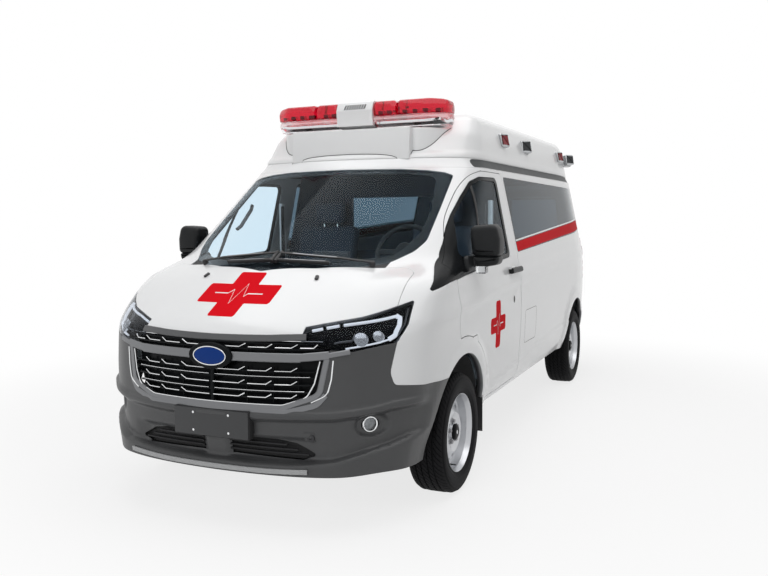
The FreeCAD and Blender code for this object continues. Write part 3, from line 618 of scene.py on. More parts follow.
def mixed(nodes, links, share, first, second, output):
    """Blend two shaders by a share and send them to the output node."""
    mix = made(nodes, "MixShader")
    links.new(share, mix.inputs[0])
    links.new(first.outputs[0], mix.inputs[1])
    links.new(second.outputs[0], mix.inputs[2])
    links.new(mix.outputs[0], made(nodes, output).inputs[0])


# %% World and lamps
WORLD_LIGHT = .23
PURE_WHITE = (1, 1, 1, 1)
world = bpy.data.worlds.new("studio")
bpy.context.scene.world = world
nodes, links = nodes_of(world)
lit = made(nodes, "Background", (("Color", PURE_WHITE), ("Strength", WORLD_LIGHT)))
shown = made(nodes, "Background", (("Color", PURE_WHITE), ("Strength", 1.0)))
mixed(nodes, links, seen_directly(nodes, links), lit, shown, "OutputWorld")


def lamp(name, place, aim, size, power):
    light = bpy.data.lights.new(name, "AREA")
    light.shape = "RECTANGLE"
    light.size, light.size_y = size
    light.energy = power
    obj = bpy.data.objects.new(name, light)
    bpy.context.scene.collection.objects.link(obj)
    obj.location = place
    obj.rotation_euler = (Vector(aim) - Vector(place)).to_track_quat("-Z", "Y").to_euler()
    return obj


lamp("lamp_above", (.5, -.5, 6.5), (0, 0, 1), (7, 9), 300)
front_lamp = lamp("lamp_front", (-.5, -9.0, 3.5), (0, -1, 1.2), (5, 3), 190)
front_lamp.visible_glossy = False                # it would stand as a bright patch in the windscreen
front_lamp.visible_transmission = False
lamp("lamp_left", (7.5, .5, 3.0), (0, 0, 1), (6, 3), 4)

# %% Floor
FLOOR_HALF = 40.0
FADE_FROM, FADE_TO, FADE_LOW = 2.2, 5.0, .78    # the floor turns plain white between these reaches
floor_corners = ((-1, -1), (1, -1), (1, 1), (-1, 1))
floor = new_object("floor", [(x * FLOOR_HALF, y * FLOOR_HALF, 0) for x, y in floor_corners],
                   [(0, 1, 2, 3)])
floor_look = bpy.data.materials.new("floor_white")
nodes, links = nodes_of(floor_look)
matte = made(nodes, "BsdfDiffuse", [("Color", (.93, .93, .93, 1))])
white = made(nodes, "Emission", [("Strength", 1.0)])
reach = made(nodes, "VectorMath", operation="LENGTH")
fade = made(nodes, "MapRange", (("From Min", FADE_FROM), ("From Max", FADE_TO), ("To Min", FADE_LOW)),
            interpolation_type="SMOOTHSTEP")
links.new(made(nodes, "TexCoord").outputs["Object"], reach.inputs[0])
links.new(reach.outputs["Value"], fade.inputs["Value"])
shown = combined(nodes, links, "MULTIPLY", seen_directly(nodes, links), fade.outputs[0])
mixed(nodes, links, shown, matte, white, "OutputMaterial")
floor.data.materials.append(floor_look)

# %% [markdown]
# ## Materials
# No real surface is one flat colour. Every finish here is built from code: a noise that
# follows the object tints the colour a little, a finer one changes how sharply it reflects
# and can roughen the surface. A shared node group makes both noises, so that each finish is
# only a short row of numbers.


# %% One node group for all the noises
def noise_group():
    """Node group that gives a broad tint mask and a fine grain."""
    group = bpy.data.node_groups.new("surface_noise", "ShaderNodeTree")
    for way, names in (("INPUT", ("Broad", "Fine")), ("OUTPUT", ("Tint", "Grain"))):
        for name in names:
            group.interface.new_socket(name=name, in_out=way, socket_type="NodeSocketFloat")
    source, sink = group.nodes.new("NodeGroupInput"), group.nodes.new("NodeGroupOutput")
    place = made(group.nodes, "TexCoord")
    for scale, result in (("Broad", "Tint"), ("Fine", "Grain")):
        noise = made(group.nodes, "TexNoise", [("Detail", 3.0)])
        group.links.new(place.outputs["Object"], noise.inputs["Vector"])
        group.links.new(source.outputs[scale], noise.inputs["Scale"])
        group.links.new(noise.outputs[0], sink.inputs[result])
    return group


NOISE = noise_group()


def finish(name, base, rough, metal=0.0, vary=.05, broad=6.0, fine=400.0, bump=0.0, coat=0.0,
           clear=0.0, glow=0.0, ior=1.5):
    """Procedural finish. clear makes it glass, glow makes it shine by itself."""
    look = bpy.data.materials.new(name)
    nodes, links = nodes_of(look)
    shader = made(nodes, "BsdfPrincipled", (("Metallic", metal), ("Coat Weight", coat),
                                            ("Coat Roughness", .04), ("IOR", ior),
                                            ("Transmission Weight", clear)))
    noise = made(nodes, "Group", node_tree=NOISE)
    noise.inputs["Broad"].default_value, noise.inputs["Fine"].default_value = broad, fine
    tint = made(nodes, "Mix", data_type="RGBA")
    tint.inputs[6].default_value = (*(max(0, c * (1 - vary)) for c in base), 1)
    tint.inputs[7].default_value = (*(min(1, c * (1 + vary)) for c in base), 1)
    links.new(noise.outputs["Tint"], tint.inputs[0])
    links.new(tint.outputs[2], shader.inputs["Base Color"])
    dull, shiny = min(1.0, rough * 1.15 + .01), max(.02, rough * .85)
    spread = made(nodes, "MapRange", (("To Min", shiny), ("To Max", dull)))
    links.new(noise.outputs["Grain"], spread.inputs["Value"])
    links.new(spread.outputs[0], shader.inputs["Roughness"])
    if bump:
        raised = made(nodes, "Bump", (("Strength", bump), ("Distance", .0006)))
        links.new(noise.outputs["Grain"], raised.inputs["Height"])
        links.new(raised.outputs[0], shader.inputs["Normal"])
    if glow:
        shader.inputs["Emission Color"].default_value = (*base, 1)
        shader.inputs["Emission Strength"].default_value = glow
    if clear:
        through = made(nodes, "BsdfTransparent", [("Color", (*(math.sqrt(c) for c in base), 1))])
        shadow = made(nodes, "LightPath").outputs["Is Shadow Ray"]
        mixed(nodes, links, shadow, shader, through, "OutputMaterial")
    else:
        links.new(shader.outputs[0], made(nodes, "OutputMaterial").inputs[0])
    return look


# %% The finishes
WHITE = finish("white_paint", (.790, .798, .806), .22, vary=.012, coat=.35, fine=60)
WHITE_GRP = finish("white_gel_coat", (.790, .795, .800), .30, vary=.015, coat=.4, fine=60)
CHARCOAL = finish("charcoal_plastic", (.047, .048, .050), .40, vary=.10, fine=900, bump=.25)
SATIN = finish("satin_grey_trim", (.190, .194, .202), .34, metal=.8, vary=.04)
GLOSS = finish("gloss_black", (.009, .010, .011), .20, vary=.15, ior=1.14)
BLACK_PLASTIC = finish("black_plastic", (.012, .013, .014), .42, vary=.12, fine=800, bump=.2, ior=1.28)
BRIGHT = finish("bright_bezel", (.42, .43, .44), .22, metal=1.0, vary=.05)
STRIPE = finish("dark_roof_stripe", (.060, .064, .066), .50, vary=.06, bump=.1, ior=1.3)
RUBBER = finish("black_rubber", (.012, .012, .013), .55, vary=.15, bump=.3)
MATT = finish("matt_black", (.010, .010, .011), .70, vary=.20)
TYRE = finish("tyre_rubber", (.008, .008, .009), .75, vary=.25, broad=14, fine=700, bump=.5, ior=1.25)
CHROME = finish("chrome", (.78, .79, .80), .12, metal=1.0, vary=.02)
STEEL = finish("silver_wheel_paint", (.56, .57, .59), .30, metal=.75, vary=.05, coat=.3)
IRON = finish("dark_underbody_steel", (.045, .045, .048), .60, metal=.5, vary=.25, bump=.4)
ALLOY = finish("cast_alloy", (.30, .30, .31), .45, metal=.8, vary=.15, bump=.4)
RED_FILM = finish("red_film", (.720, .006, .014), .45, vary=.03, ior=1.06)
PLATE = finish("blank_plate", (.028, .029, .031), .36, vary=.06)
GREY_LINING = finish("light_grey_lining", (.52, .53, .54), .60, vary=.04, bump=.2)
PRIMER = finish("inner_grey_paint", (.36, .37, .38), .50, vary=.05)
DASH = finish("dashboard_plastic", (.030, .031, .034), .55, vary=.10, bump=.4)
SEAT = finish("grey_seat_cloth", (.026, .036, .050), .85, vary=.18, broad=40, fine=900, bump=.8)
VINYL = finish("blue_vinyl", (.060, .115, .200), .45, vary=.08, bump=.3)
FLOORING = finish("grey_floor_vinyl", (.22, .24, .26), .55, vary=.10, broad=60)
CLEAR = {"clear": 1.0, "vary": .01, "fine": 8}
WINDOW = finish("tinted_glass", (.80, .90, .96), .02, ior=1.06, **CLEAR)
DARK_WINDOW = finish("dark_tinted_glass", (.100, .150, .190), .02, clear=1.0, vary=.02, fine=8, ior=1.13)
LENS = finish("clear_lens", (.90, .92, .93), .02, ior=1.40, **CLEAR)
SMOKE = finish("smoked_lens", (.50, .52, .55), .02, ior=1.10, **CLEAR)
RED_LENS = finish("red_lens", (.70, .006, .030), .03, clear=.85, vary=.03, ior=1.4)
LED = finish("white_light_guide", (.92, .95, 1.0), .25, vary=.02, glow=.75)
print("finishes", len(bpy.data.materials))


# %% Dressing a piece
def dress(obj, body, looks, *nodes, slot=None):
    """Give an object its finishes and its body, and say which frame nodes it stands in for."""
    for look in looks:
        obj.data.materials.append(look)
    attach(obj, body)
    if nodes:
        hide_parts(*nodes)
    return obj


def fitted(name, loops, body, looks, *nodes, slot=None, **shape):
    """Panel inside the first outline and outside the others, dressed at once."""
    return dress(panel(name, loops, less(*loops), **shape), body, looks, *nodes, slot=slot)


# %% [markdown]
# ## Shut lines
# The outlines of all the panels come first, in one place, because neighbours share them.
# Each is drawn as it is seen: the doors from the side, the lamps and the grille from ahead,
# the bonnet from above. Distances along the body count from the front axle.


# %% Outlines of the front
def on_left(y, z):
    return from_side(FRONT + y, z)


def circle(y, z, radius, count=72):
    turn = 2 * math.pi * np.arange(count) / count
    return np.array([on_left(y + radius * math.cos(t), z + radius * math.sin(t)) for t in turn])


REAR_Y = REAR - FRONT
ARCH_R = TYRE_R + .112
DOOR_FRONT, DOOR_REAR, DOOR_TOP, DOOR_LOW = -.062, 1.275, 1.846, .420
GAP = .008
DOOR_EDGE = seen(on_left, [(DOOR_FRONT, .86), (DOOR_FRONT, 1.600), (.500, DOOR_TOP),
                           (DOOR_REAR, DOOR_TOP, .06), (DOOR_REAR, DOOR_LOW, .06), (.25, DOOR_LOW),
                           (.25, .86)])
SEAM_LOW, SEAM_HIGH, BEHIND_SEAM = .25, 1.95, 3.5
PILLAR_SEAM = ((SEAM_LOW, .600), (1.18, .600), (1.24, .905), (1.40, .842), (1.450, .819), (1.499, .799),
               (1.551, .783), (1.624, .776), (1.718, .773), (1.780, .784), (1.820, .801), (1.838, .816),
               (1.846, .840), (SEAM_HIGH, .860))        # (z, x) of the door's front edge
line_z = np.concatenate([[SEAM_LOW, 1.18], np.linspace(1.24, SEAM_HIGH, 72)])
line_x = np.interp(line_z, *zip(*PILLAR_SEAM))
for _ in range(3):          # three rounds of averaging take the corners out of the drawn line
    line_x[3:-1] = (line_x[2:-2] + line_x[3:-1] + line_x[4:]) / 3
OUTBOARD = np.array([from_front(x, z) for x, z in zip(line_x, line_z)]
                    + [(BEHIND_SEAM, SEAM_HIGH), (BEHIND_SEAM, SEAM_LOW)])
# The black surround takes in the fixed triangle ahead of the door; the glass lies inside it.
SURROUND = seen(on_left, [(-.392, 1.171, .006), (-.250, 1.236), (-.020, 1.330), (.085, 1.402),
                          (.203, 1.495), (.301, 1.565), (.474, 1.675, .5), (.640, 1.772, .12),
                          (.760, 1.803, .06), (1.118, 1.808, .05), (1.087, 1.281, .042),
                          (.150, 1.228), (-.174, 1.200)])
DOOR_GLASS = seen(on_left, [(.185, 1.268, .012), (.130, 1.345, .012), (.305, 1.552, .02), (.478, 1.661, .5),
                            (.646, 1.756, .12), (.765, 1.784, .05), (1.086, 1.786, .04),
                            (1.057, 1.305, .035)])
ARCH_FRONT, ARCH_REAR = circle(0, AXLE_Z, ARCH_R), circle(REAR_Y, AXLE_Z, ARCH_R)
DOOR_ARCH = circle(0, AXLE_Z, ARCH_R + .095)
BUMPER = divided(rounded([(0, .302), on_left(-.250, .302), on_left(-.250, .702),
                          (*on_left(-.520, .712), .05), (*from_front(.862, .736), .04),
                          (*from_front(.846, .800), .06), from_front(.870, .958),
                          from_front(.600, .958), from_front(.600, .905), (0, .905)]), .02)
LAMP = seen(from_front, [(.470, .960), (.470, 1.030), (.700, 1.086), (.886, 1.150, .010), (.896, 1.050),
                         (.872, .950, .02), (.700, .912, .03), (.545, .925)])
GRILLE = seen(from_front, whole([(.615, .977), (.592, .880, .02), (.560, .700, .06), (.390, .628, .08)]))
BONNET_LIP = .985
plan = rounded(whole([(.640, -.850), (.835, -.655, .03), (.800, -.215, .06), (.560, -.325, .15),
                      (.300, -.450, .25)], last=[(0, -.520)]))
BONNET = np.array([from_above(x, FRONT + y) for x, y in divided(plan, .02, closed=False)])
lip = np.linspace(BONNET[-1][0], BONNET[0][0], 60)
BONNET = np.vstack([BONNET, [(u, BONNET_LIP) for u in lip]])
SCREEN_HALF = [(.400, 1.858), (.560, 1.848), (.675, 1.832), (.728, 1.812, .02), (.746, 1.592),
               (.757, 1.420, .05), (.723, 1.363, .06), (.641, 1.308, .08), (.500, 1.292), (.330, 1.285),
               (.150, 1.279)]
SCREEN = seen(from_front, whole(SCREEN_HALF, [(0, 1.862)], [(0, 1.277)]))
ROOF_SEAM, SILL, STRIPE_TOP = 1.866, .390, 1.928
COWL = seen(from_front, [(-.640, 1.20), (-.640, 1.312), (.640, 1.312), (.640, 1.20)])
cab_end = np.array([on_left(DOOR_REAR + GAP, z) for z in np.linspace(SILL, ROOF_SEAM, 40)])
CAB = np.vstack([cab_end, sided(-1, cab_end)[0][::-1]])
TAIL = AROUND[-1]
SIDE = np.vstack([cab_end, [(TAIL, ROOF_SEAM), (TAIL, SILL)]])

# %% Outlines of the load space and the tail
SIDE_GLASS = seen(on_left, [(1.298, 1.300, .02), (1.298, 1.824, .03), (3.895, 1.806, .04),
                            (3.895, 1.405, .04)])
SLIDE_END = 2.455
SLIDE = seen(on_left, [(DOOR_REAR + GAP, DOOR_LOW, .06), (DOOR_REAR + GAP, DOOR_TOP, .06),
                       (SLIDE_END, DOOR_TOP, .06), (SLIDE_END, DOOR_LOW, .06)])
REAR_DOOR = seen(from_behind, [(.004, .575, .02), (.004, 1.840, .02), (.670, 1.840, .06),
                               (.740, 1.300, .06), (.740, .575, .06)])
REAR_GLASS = seen(from_behind, [(.090, 1.300, .04), (.090, 1.740, .04), (.590, 1.740, .04),
                                (.640, 1.300, .04)])
lamp_z = np.linspace(.900, 1.330, 22)
TAIL_LAMP = np.array([from_behind(.775, z) for z in lamp_z]
                     + [on_left(REAR_Y + .80, z) for z in lamp_z[::-1]])
STEP_TOP, STEP_LOW = .560, .345
step_z = np.linspace(STEP_LOW, STEP_TOP, 12)
STEP = np.array([on_left(REAR_Y + .64, z) for z in step_z] + [(TAIL, STEP_TOP), (TAIL, STEP_LOW)])
past_middle = REAR_DOOR[:, :1] > TAIL - .03
REAR_OPENING = REAR_DOOR + np.where(past_middle, (.05, 0.0), (0.0, 0.0))    # no post between the doors


def drawn_in(loop, by):
    """The outline moved inward by an even distance, with no folds at its corners."""
    loop = divided(loop, .015)
    area = np.sum(loop[:, 0] * np.roll(loop[:, 1], -1) - np.roll(loop[:, 0], -1) * loop[:, 1])
    way = unit(np.roll(loop, -1, axis=0) - np.roll(loop, 1, axis=0))
    moved = loop + np.stack([-way[:, 1], way[:, 0]], 1) * by * math.copysign(1, area)
    return moved[clearance(moved, divided(loop, .004)) > abs(by) * .985]


print("outlines ready; lamp spans", np.round(LAMP.min(0), 2), np.round(LAMP.max(0), 2))

# %% [markdown]
# ## The painted panels
# With the outlines ready a panel is one rule. The body's own panels stop at the shut lines,
# and the moving ones are drawn in by a few millimetres more, so that a real gap shows dark
# round every door. The frame's plain solids give way to these panels, on the same bodies.


# %% Doors
def door_area(uv, side=1):
    uv = uv * (side, 1.0)
    return inside(uv, DOOR_EDGE) & inside(uv, OUTBOARD) & ~inside(uv, DOOR_ARCH)


def door_edges(side):
    return sided(side, DOOR_EDGE, OUTBOARD, DOOR_ARCH)


SIDES = (("left", 1), ("right", -1))
PAINTED = [WHITE, PRIMER]
for word, side in SIDES:
    hole, outer, window = sided(side, SURROUND, REAR_DOOR, REAR_GLASS)
    skin = panel(f"front_door_skin_{word}", door_edges(side) + [hole],
                 lambda uv: door_area(uv, side) & ~inside(uv, hole), shrink=3.0, depth=.030)
    dress(skin, f"door_front_{word}", PAINTED, f"front_door_{word}", slot="white")
    fitted(f"rear_door_skin_{word}", [outer, window], f"door_rear_{word}", PAINTED, f"rear_door_{word}",
           slot="white", shrink=2.0)
slide = sided(-1, SLIDE)[0]
fitted("sliding_door_skin", [slide, *sided(-1, SIDE_GLASS)], "body", PAINTED, "sliding_door", slot="white",
       shrink=3.0)

# %% Bonnet, wings and cab frame
LAMPS, ARCHES = both_sides(LAMP), both_sides(ARCH_FRONT)
fitted("bonnet_skin", [BONNET, *LAMPS], "bonnet", PAINTED, "bonnet", slot="white", step=.024, depth=.030,
       shrink=1.0)
BUMPERS = both_sides(BUMPER)
cab_holes = [*BUMPERS, GRILLE, *LAMPS, BONNET, *ARCHES, SCREEN, COWL, *both_sides(SURROUND)]
cab_rule = less(CAB, *cab_holes)


def cab_thickness(place):
    """Thin sheet beside the doors' front edges, which swing in behind it; thicker elsewhere."""
    beside = (place[:, 1] > FRONT - .30) & (place[:, 1] < FRONT + .05) & (place[:, 2] < 1.16)
    return np.where(beside, .010, .040)


skin = panel("cab_skin", [CAB, *cab_holes, *door_edges(1), *door_edges(-1)],
             lambda uv: cab_rule(uv) & ~door_area(uv) & ~door_area(uv, -1), depth=cab_thickness)
dress(skin, "body", PAINTED, "front_wings", "cab_frame", slot="white")
fitted("cowl_panel", [COWL, BONNET, SCREEN], "body", [MATT, MATT], slot="trim", lift=sunk(.006))
print("cab skin done")

# %% Load-space sides and the tail
for word, side in SIDES:
    loops = sided(side, SIDE, SIDE_GLASS, ARCH_REAR, TAIL_LAMP, STEP, REAR_OPENING)
    fitted(f"side_skin_{word}", loops + ([slide] if side < 0 else []), "body", PAINTED, f"side_panel_{word}",
           slot="white", step=.034)
print("side skins done")

# %% [markdown]
# ## The high roof
# The roof cap is one moulding: it rises from the dark stripe, leans in, rolls over a shoulder
# and crowns to the middle. It is found by rays. From a spine inside the roof a fan of rays
# goes out at every place round the body, and each ray stops at the nearest of three limits:
# the leaning side, the arched section across, and the profile along. Blurring those
# distances rounds all the edges at once, just as a mould does.

# %% Roof cap by rays from a spine
SECTION = ((0.0, 2.312), (.30, 2.305), (.610, 2.278), (.727, 2.210), (.774, 2.085), (.80, 1.98),
           (.86, 1.90))
PROFILE = ((.30, 1.92), (.545, 2.060), (.600, 2.110), (.85, 2.190), (1.150, 2.255), (1.55, 2.293),
           (2.000, 2.315), (3.30, 2.305), (4.80, 2.240), (5.20, 2.22))
SPINE = (1.15, REAR_Y + .62)
ROOF_ROWS, ROOF_LOW = 54, STRIPE_TOP
ROOF_THICK, ROOF_LIP = .030, .003


def roof_reach(u_list, turns):
    """Distance from the spine to the roof for rays round the body at rising angles."""
    foot = sample(SKIN3, u_list, np.full(len(u_list), ROOF_LOW))
    spine_y = np.clip(foot[:, 1], FRONT + SPINE[0], FRONT + SPINE[1])
    way = unit(foot[:, :2] - np.stack([0 * spine_y, spine_y], 1) + 1e-9)
    heights = np.arange(ROOF_LOW, 2.365, .02)
    limit = []
    for z in heights:
        outline = row_at(z)[:, :2]
        outline = np.vstack([outline, outline[::-1] * (-1, 1)])
        rel = outline[None] - np.stack([0 * spine_y, spine_y], 1)[:, None]
        along = (rel @ way[:, :, None])[..., 0]
        across = rel[..., 0] * way[:, None, 1] - rel[..., 1] * way[:, None, 0]
        flips = (across[:, :-1] * across[:, 1:] <= 0) & (along[:, :-1] > 0)
        limit.append(np.where(flips, along[:, :-1], 0).max(1))
    limit = np.array(limit).T
    steps = np.linspace(.02, 1.5, 300)
    reach = np.zeros((len(u_list), len(turns)))
    for k, turn in enumerate(turns):
        r, z = steps * math.cos(turn), ROOF_LOW + steps * math.sin(turn)
        x, y = abs(way[:, :1]) * r, spine_y[:, None] + way[:, 1:] * r - FRONT
        side = np.array([np.interp(z, heights, row) for row in limit]) - r
        room = np.minimum(side, np.interp(x, *zip(*SECTION)) - z)
        room = np.minimum(room, np.interp(y, *zip(*PROFILE)) - z)
        out = np.argmax(room < 0, axis=1)
        before = np.maximum(out - 1, 0)
        a, b = (np.take_along_axis(room, i[:, None], 1)[:, 0] for i in (before, out))
        reach[:, k] = steps[before] + (steps[out] - steps[before]) * np.clip(a / (a - b + 1e-9), 0, 1)
    return way, spine_y, reach


def smoothed(table, width, axis, mode):
    """Bell average along one axis, with its ends padded by the mode "wrap" or "symmetric"."""
    n = int(4 * width) + 1
    kernel = np.exp(-.5 * (np.arange(-n, n + 1) / width) ** 2)
    kernel /= kernel.sum()
    table = np.moveaxis(table, axis, 0)
    longer = np.pad(table, [(n, n)] + [(0, 0)] * (table.ndim - 1), mode)
    result = sum(kernel[k] * longer[k:k + len(table)] for k in range(2 * n + 1))
    return np.moveaxis(result, 0, axis)


def roof_grid():
    """Rings of points from the stripe up to the spine."""
    u = np.concatenate([np.linspace(0, 1.9, 60)[:-1], np.linspace(1.9, 4.9, 56)[:-1],
                        np.linspace(4.9, TAIL, 50)])
    u = np.concatenate([u, -u[-2:0:-1]])
    turns = np.arctan(.45 * np.tan(np.linspace(0, math.pi / 2, ROOF_ROWS)))
    turns[-1] = math.pi / 2
    way, spine_y, reach = roof_reach(u, turns)
    blurry = smoothed(smoothed(reach, 1.6, 1, "symmetric"), 1.5, 0, "wrap")
    keep = np.clip(np.arange(ROOF_ROWS) / 5, 0, 1)
    reach = reach[:, :1] * (1 - keep) + blurry * keep
    flat = reach * np.cos(turns)
    return np.stack([way[:, :1] * flat, spine_y[:, None] + way[:, 1:] * flat,
                     ROOF_LOW + reach * np.sin(turns)], 2)


ROOF = roof_grid()
around_count, rise_count = ROOF.shape[:2]
out = unit(np.cross(np.roll(ROOF, -1, 0) - np.roll(ROOF, 1, 0), np.gradient(ROOF, axis=1)))
out[:, -1] = (0, 0, 1)
inner = ROOF - out * ROOF_THICK
inner[:, 0, 2] = ROOF[:, 0, 2]
outer = ROOF.copy()
outer[:, 0, 2] += ROOF_LIP
verts = np.concatenate([ROOF[:, :1] - out[:, :1] * ROOF_LIP, outer, inner], 1)
rows = verts.shape[1]
index = np.arange(around_count * rows).reshape(around_count, rows)
beside = np.roll(index, -1, axis=0)
faces = []
for j in [j for j in range(rows - 1) if j != rise_count]:
    quads = list(zip(index[:, j], beside[:, j], beside[:, j + 1], index[:, j + 1]))
    faces += quads if j < rise_count else [q[::-1] for q in quads]
faces += list(zip(beside[:, 0], index[:, 0], index[:, rise_count + 1], beside[:, rise_count + 1]))
roof = mended(new_object("roof_skin", verts.reshape(-1, 3), faces), join=.0008, sliver=.0001)
dress(roof, "body", [WHITE_GRP], "roof_cap", slot="white")
print("roof", len(roof.data.polygons), "faces, top at", round(float(ROOF[..., 2].max()), 3))

# %% Dark stripe below the roof
STRIPE_START = .775
BAND_LOW, BAND_HIGH = ROOF_SEAM + .003, STRIPE_TOP - .004
stripe = seen(on_left, [(STRIPE_START, BAND_HIGH, .045), (3.0, BAND_HIGH), (3.0, BAND_LOW),
                        (STRIPE_START, BAND_LOW, .01)])
stripe = np.vstack([stripe[stripe[:, 0] < on_left(2.9, 1.9)[0]], [(TAIL, BAND_LOW), (TAIL, BAND_HIGH)]])
order = np.argsort(np.arctan2(stripe[:, 1] - 1.9, stripe[:, 0] - 4.0))
stripe = stripe[order]
BAND = np.array([(0, ROOF_SEAM), (TAIL, ROOF_SEAM), (TAIL, STRIPE_TOP), (0, STRIPE_TOP)])
for word, side in SIDES:
    loops = sided(side, BAND, stripe)
    fitted(f"band_skin_{word}", loops, "body", PAINTED, slot="white", roll=.4)
    fitted(f"roof_stripe_{word}", loops[1:], "body", [STRIPE, MATT], "roof_band", slot="charcoal",
           lift=sunk(.004))
print("stripe from y", STRIPE_START)

# %% [markdown]
# ## Tools for the smaller pieces
# Four small tools make almost everything else: a slab is an outline with thickness and
# rounded edges, a rail is a section swept along a path, a loft joins rings of points, and a
# turned piece is a profile spun round an axis. Several pieces of one finish can be gathered
# in one object.


# %% Slab, rail, loft and turned piece
def loft_faces(rings, closed_ends=True, first=0):
    """Faces that join rings of equal length, with the ends capped."""
    n = len(rings[0])
    faces = []
    for k in range(len(rings) - 1):
        a = first + k * n
        faces += [(a + i, a + (i + 1) % n, a + n + (i + 1) % n, a + n + i) for i in range(n)]
    if closed_ends:
        last = first + (len(rings) - 1) * n
        faces += [tuple(range(first + n - 1, first - 1, -1)), tuple(range(last, last + n))]
    return faces


class Gather:
    """Collects several closed pieces into one object."""

    def __init__(self):
        self.verts, self.faces, self.slots = [], [], []

    def add(self, rings, slot=0, closed_ends=True):
        rings = [np.asarray(ring, float) for ring in rings]
        faces = loft_faces(rings, closed_ends, sum(len(v) for v in self.verts))
        self.verts += rings
        self.faces += faces
        self.slots += [slot] * len(faces)
        return self

    def build(self, name, sharp=40):
        obj = new_object(name, np.vstack(self.verts), self.faces)
        obj.data.polygons.foreach_set("material_index", self.slots)
        return mended(obj, sharp=sharp)


def shrunk(outline, by):
    """A convex outline moved inward."""
    following = np.roll(outline, -1, axis=0)
    after, before = following - outline, outline - np.roll(outline, 1, axis=0)
    way = unit(unit(after) + unit(before))
    inward = np.stack([-way[:, 1], way[:, 0]], 1)
    area = np.sum(outline[:, 0] * following[:, 1] - following[:, 0] * outline[:, 1])
    spread = 1 / np.clip(np.sum(way * unit(after), 1), .6, 1)
    return outline + inward * (by * spread)[:, None] * math.copysign(1, area)


def slab(outline, depth, bevel, place, steps=3):
    """Rings of an outline with thickness and rounded edges; place(a, b, c) gives the point."""
    outline = np.asarray(outline, float)[:, :2]
    levels = [(bevel * (1 - math.sin(t)), bevel * (1 - math.cos(t)))
              for t in np.linspace(0, math.pi / 2, steps + 1)]
    levels += [(i, depth - c) for i, c in levels[::-1]]
    return [np.array([place(a, b, c) for a, b in shrunk(outline, i)]) for i, c in levels]


def rail(path, out, section, closed=False):
    """Rings of a section of (across, out) points swept along a path; out is the outward way."""
    path, out = np.asarray(path, float), np.asarray(out, float)
    if closed:
        way = unit(np.roll(path, -1, axis=0) - np.roll(path, 1, axis=0))
    else:
        way = unit(np.gradient(path, axis=0))
    across = unit(np.cross(way, out))
    rings = [p + np.outer([s[0] for s in section], a) + np.outer([s[1] for s in section], o)
             for p, a, o in zip(path, across, out)]
    return rings + [rings[0]] if closed else rings


def box_section(width, height, bevel=.25):
    """Section with its long edges cut, standing on the surface."""
    w, b = width / 2, min(width, height) * bevel
    return [(-w, 0), (-w, height - b), (-w + b, height), (w - b, height), (w, height - b), (w, 0)]


def spun(profile, centre, axis="x", count=48, side=1):
    """Rings of a profile of (radius, height) spun round an axis through the centre."""
    rings = []
    turn = 2 * math.pi * np.arange(count) / count
    for radius, height in profile:
        c, s, h = radius * np.cos(turn), radius * np.sin(turn), np.full(count, height * side)
        order = {"x": (h, c, s), "y": (s, h, c), "z": (c, s, h)}[axis]
        rings.append(np.stack(order, 1) + np.array(centre))
    return rings


def boxed(x0, x1, y0, y1, z0, z1, bevel=.004):
    """Rings of a box with rounded edges."""
    return slab(oblong(x0, x1, y0, y1, bevel), z1 - z0, bevel, lambda a, b, c: (a, b, z0 + c))


def side_box(side, x0, x1, *rest):
    """Box at x0 to x1 on the left with side 1, or mirrored to the right with side -1."""
    return boxed(*sorted((side * x0, side * x1)), *rest)


def on_skin(path, lift=0.0):
    """Points and outward ways of a path in skin coordinates."""
    uv = np.asarray(path, float)
    out = skin_normal(uv)
    return skin_point(uv) + out * lift, unit(out)


def standing(place, out):
    """Rule that sets (a, b, c) on a spot, with c along its outward way."""
    turn = Vector(out).to_track_quat("Z", "X").to_matrix()
    return lambda a, b, c: tuple(Vector(place) + turn @ Vector((a, b, c)))


# %% [markdown]
# ## Light bar, sign and roof lamps
# The bar is a lower clear shell with red upper lenses in two lengths on each side, and a
# white speaker block in the middle. The lenses are real glass, so there are things to see in
# them: bright reflectors and dark lamp heads. The sign box below stays blank.

# %% Light bar
BAR_FRONT, BAR_BACK, BAR_LOW, BAR_TOP = FRONT + .672, FRONT + .948, 2.152, 2.318
BAR_EDGE = ((.13, 0, 0, 0), (.52, 0, 0, 0), (.560, .026, 0, .001), (.600, .052, .026, .004),
            (.622, .068, .040, .010), (.632, .086, .052, .022),
            (.636, .104, .066, .040))          # (place along, in at the front, at the back, down)
RED_LOW = 2.228
LENS_ENDS = ((.134, .298), (.308, .636))
HEAD_XS = (.175, .235, .35, .42, .49, .56)


def bar_ring(x, low, high, pinch=0.0, foot=.010):
    """Section of the bar between two heights at a place along it."""
    stations, front_in, back_in, top_in = zip(*BAR_EDGE)
    y0 = BAR_FRONT + np.interp(abs(x), stations, front_in) + pinch
    y1 = BAR_BACK - np.interp(abs(x), stations, back_in) - pinch
    top = min(high, BAR_TOP - np.interp(abs(x), stations, top_in) - pinch)
    outline = [(y0 + foot, low, .008), (y0 + .002, low + .045, .03), (y0 + .024, top, .022),
               (y1 - .024, top, .022), (y1 - .002, low + .045, .03), (y1 - foot, low, .008)]
    return [(x, y, z) for y, z in rounded(outline, 4)]


def lens_pinch(x, x0, x1):
    """How much a lens narrows towards an end that meets another piece."""
    if x >= .6 or min(x - x0, x1 - x) >= .005:
        return 0
    return .012 if x in (x0, x1) else .004


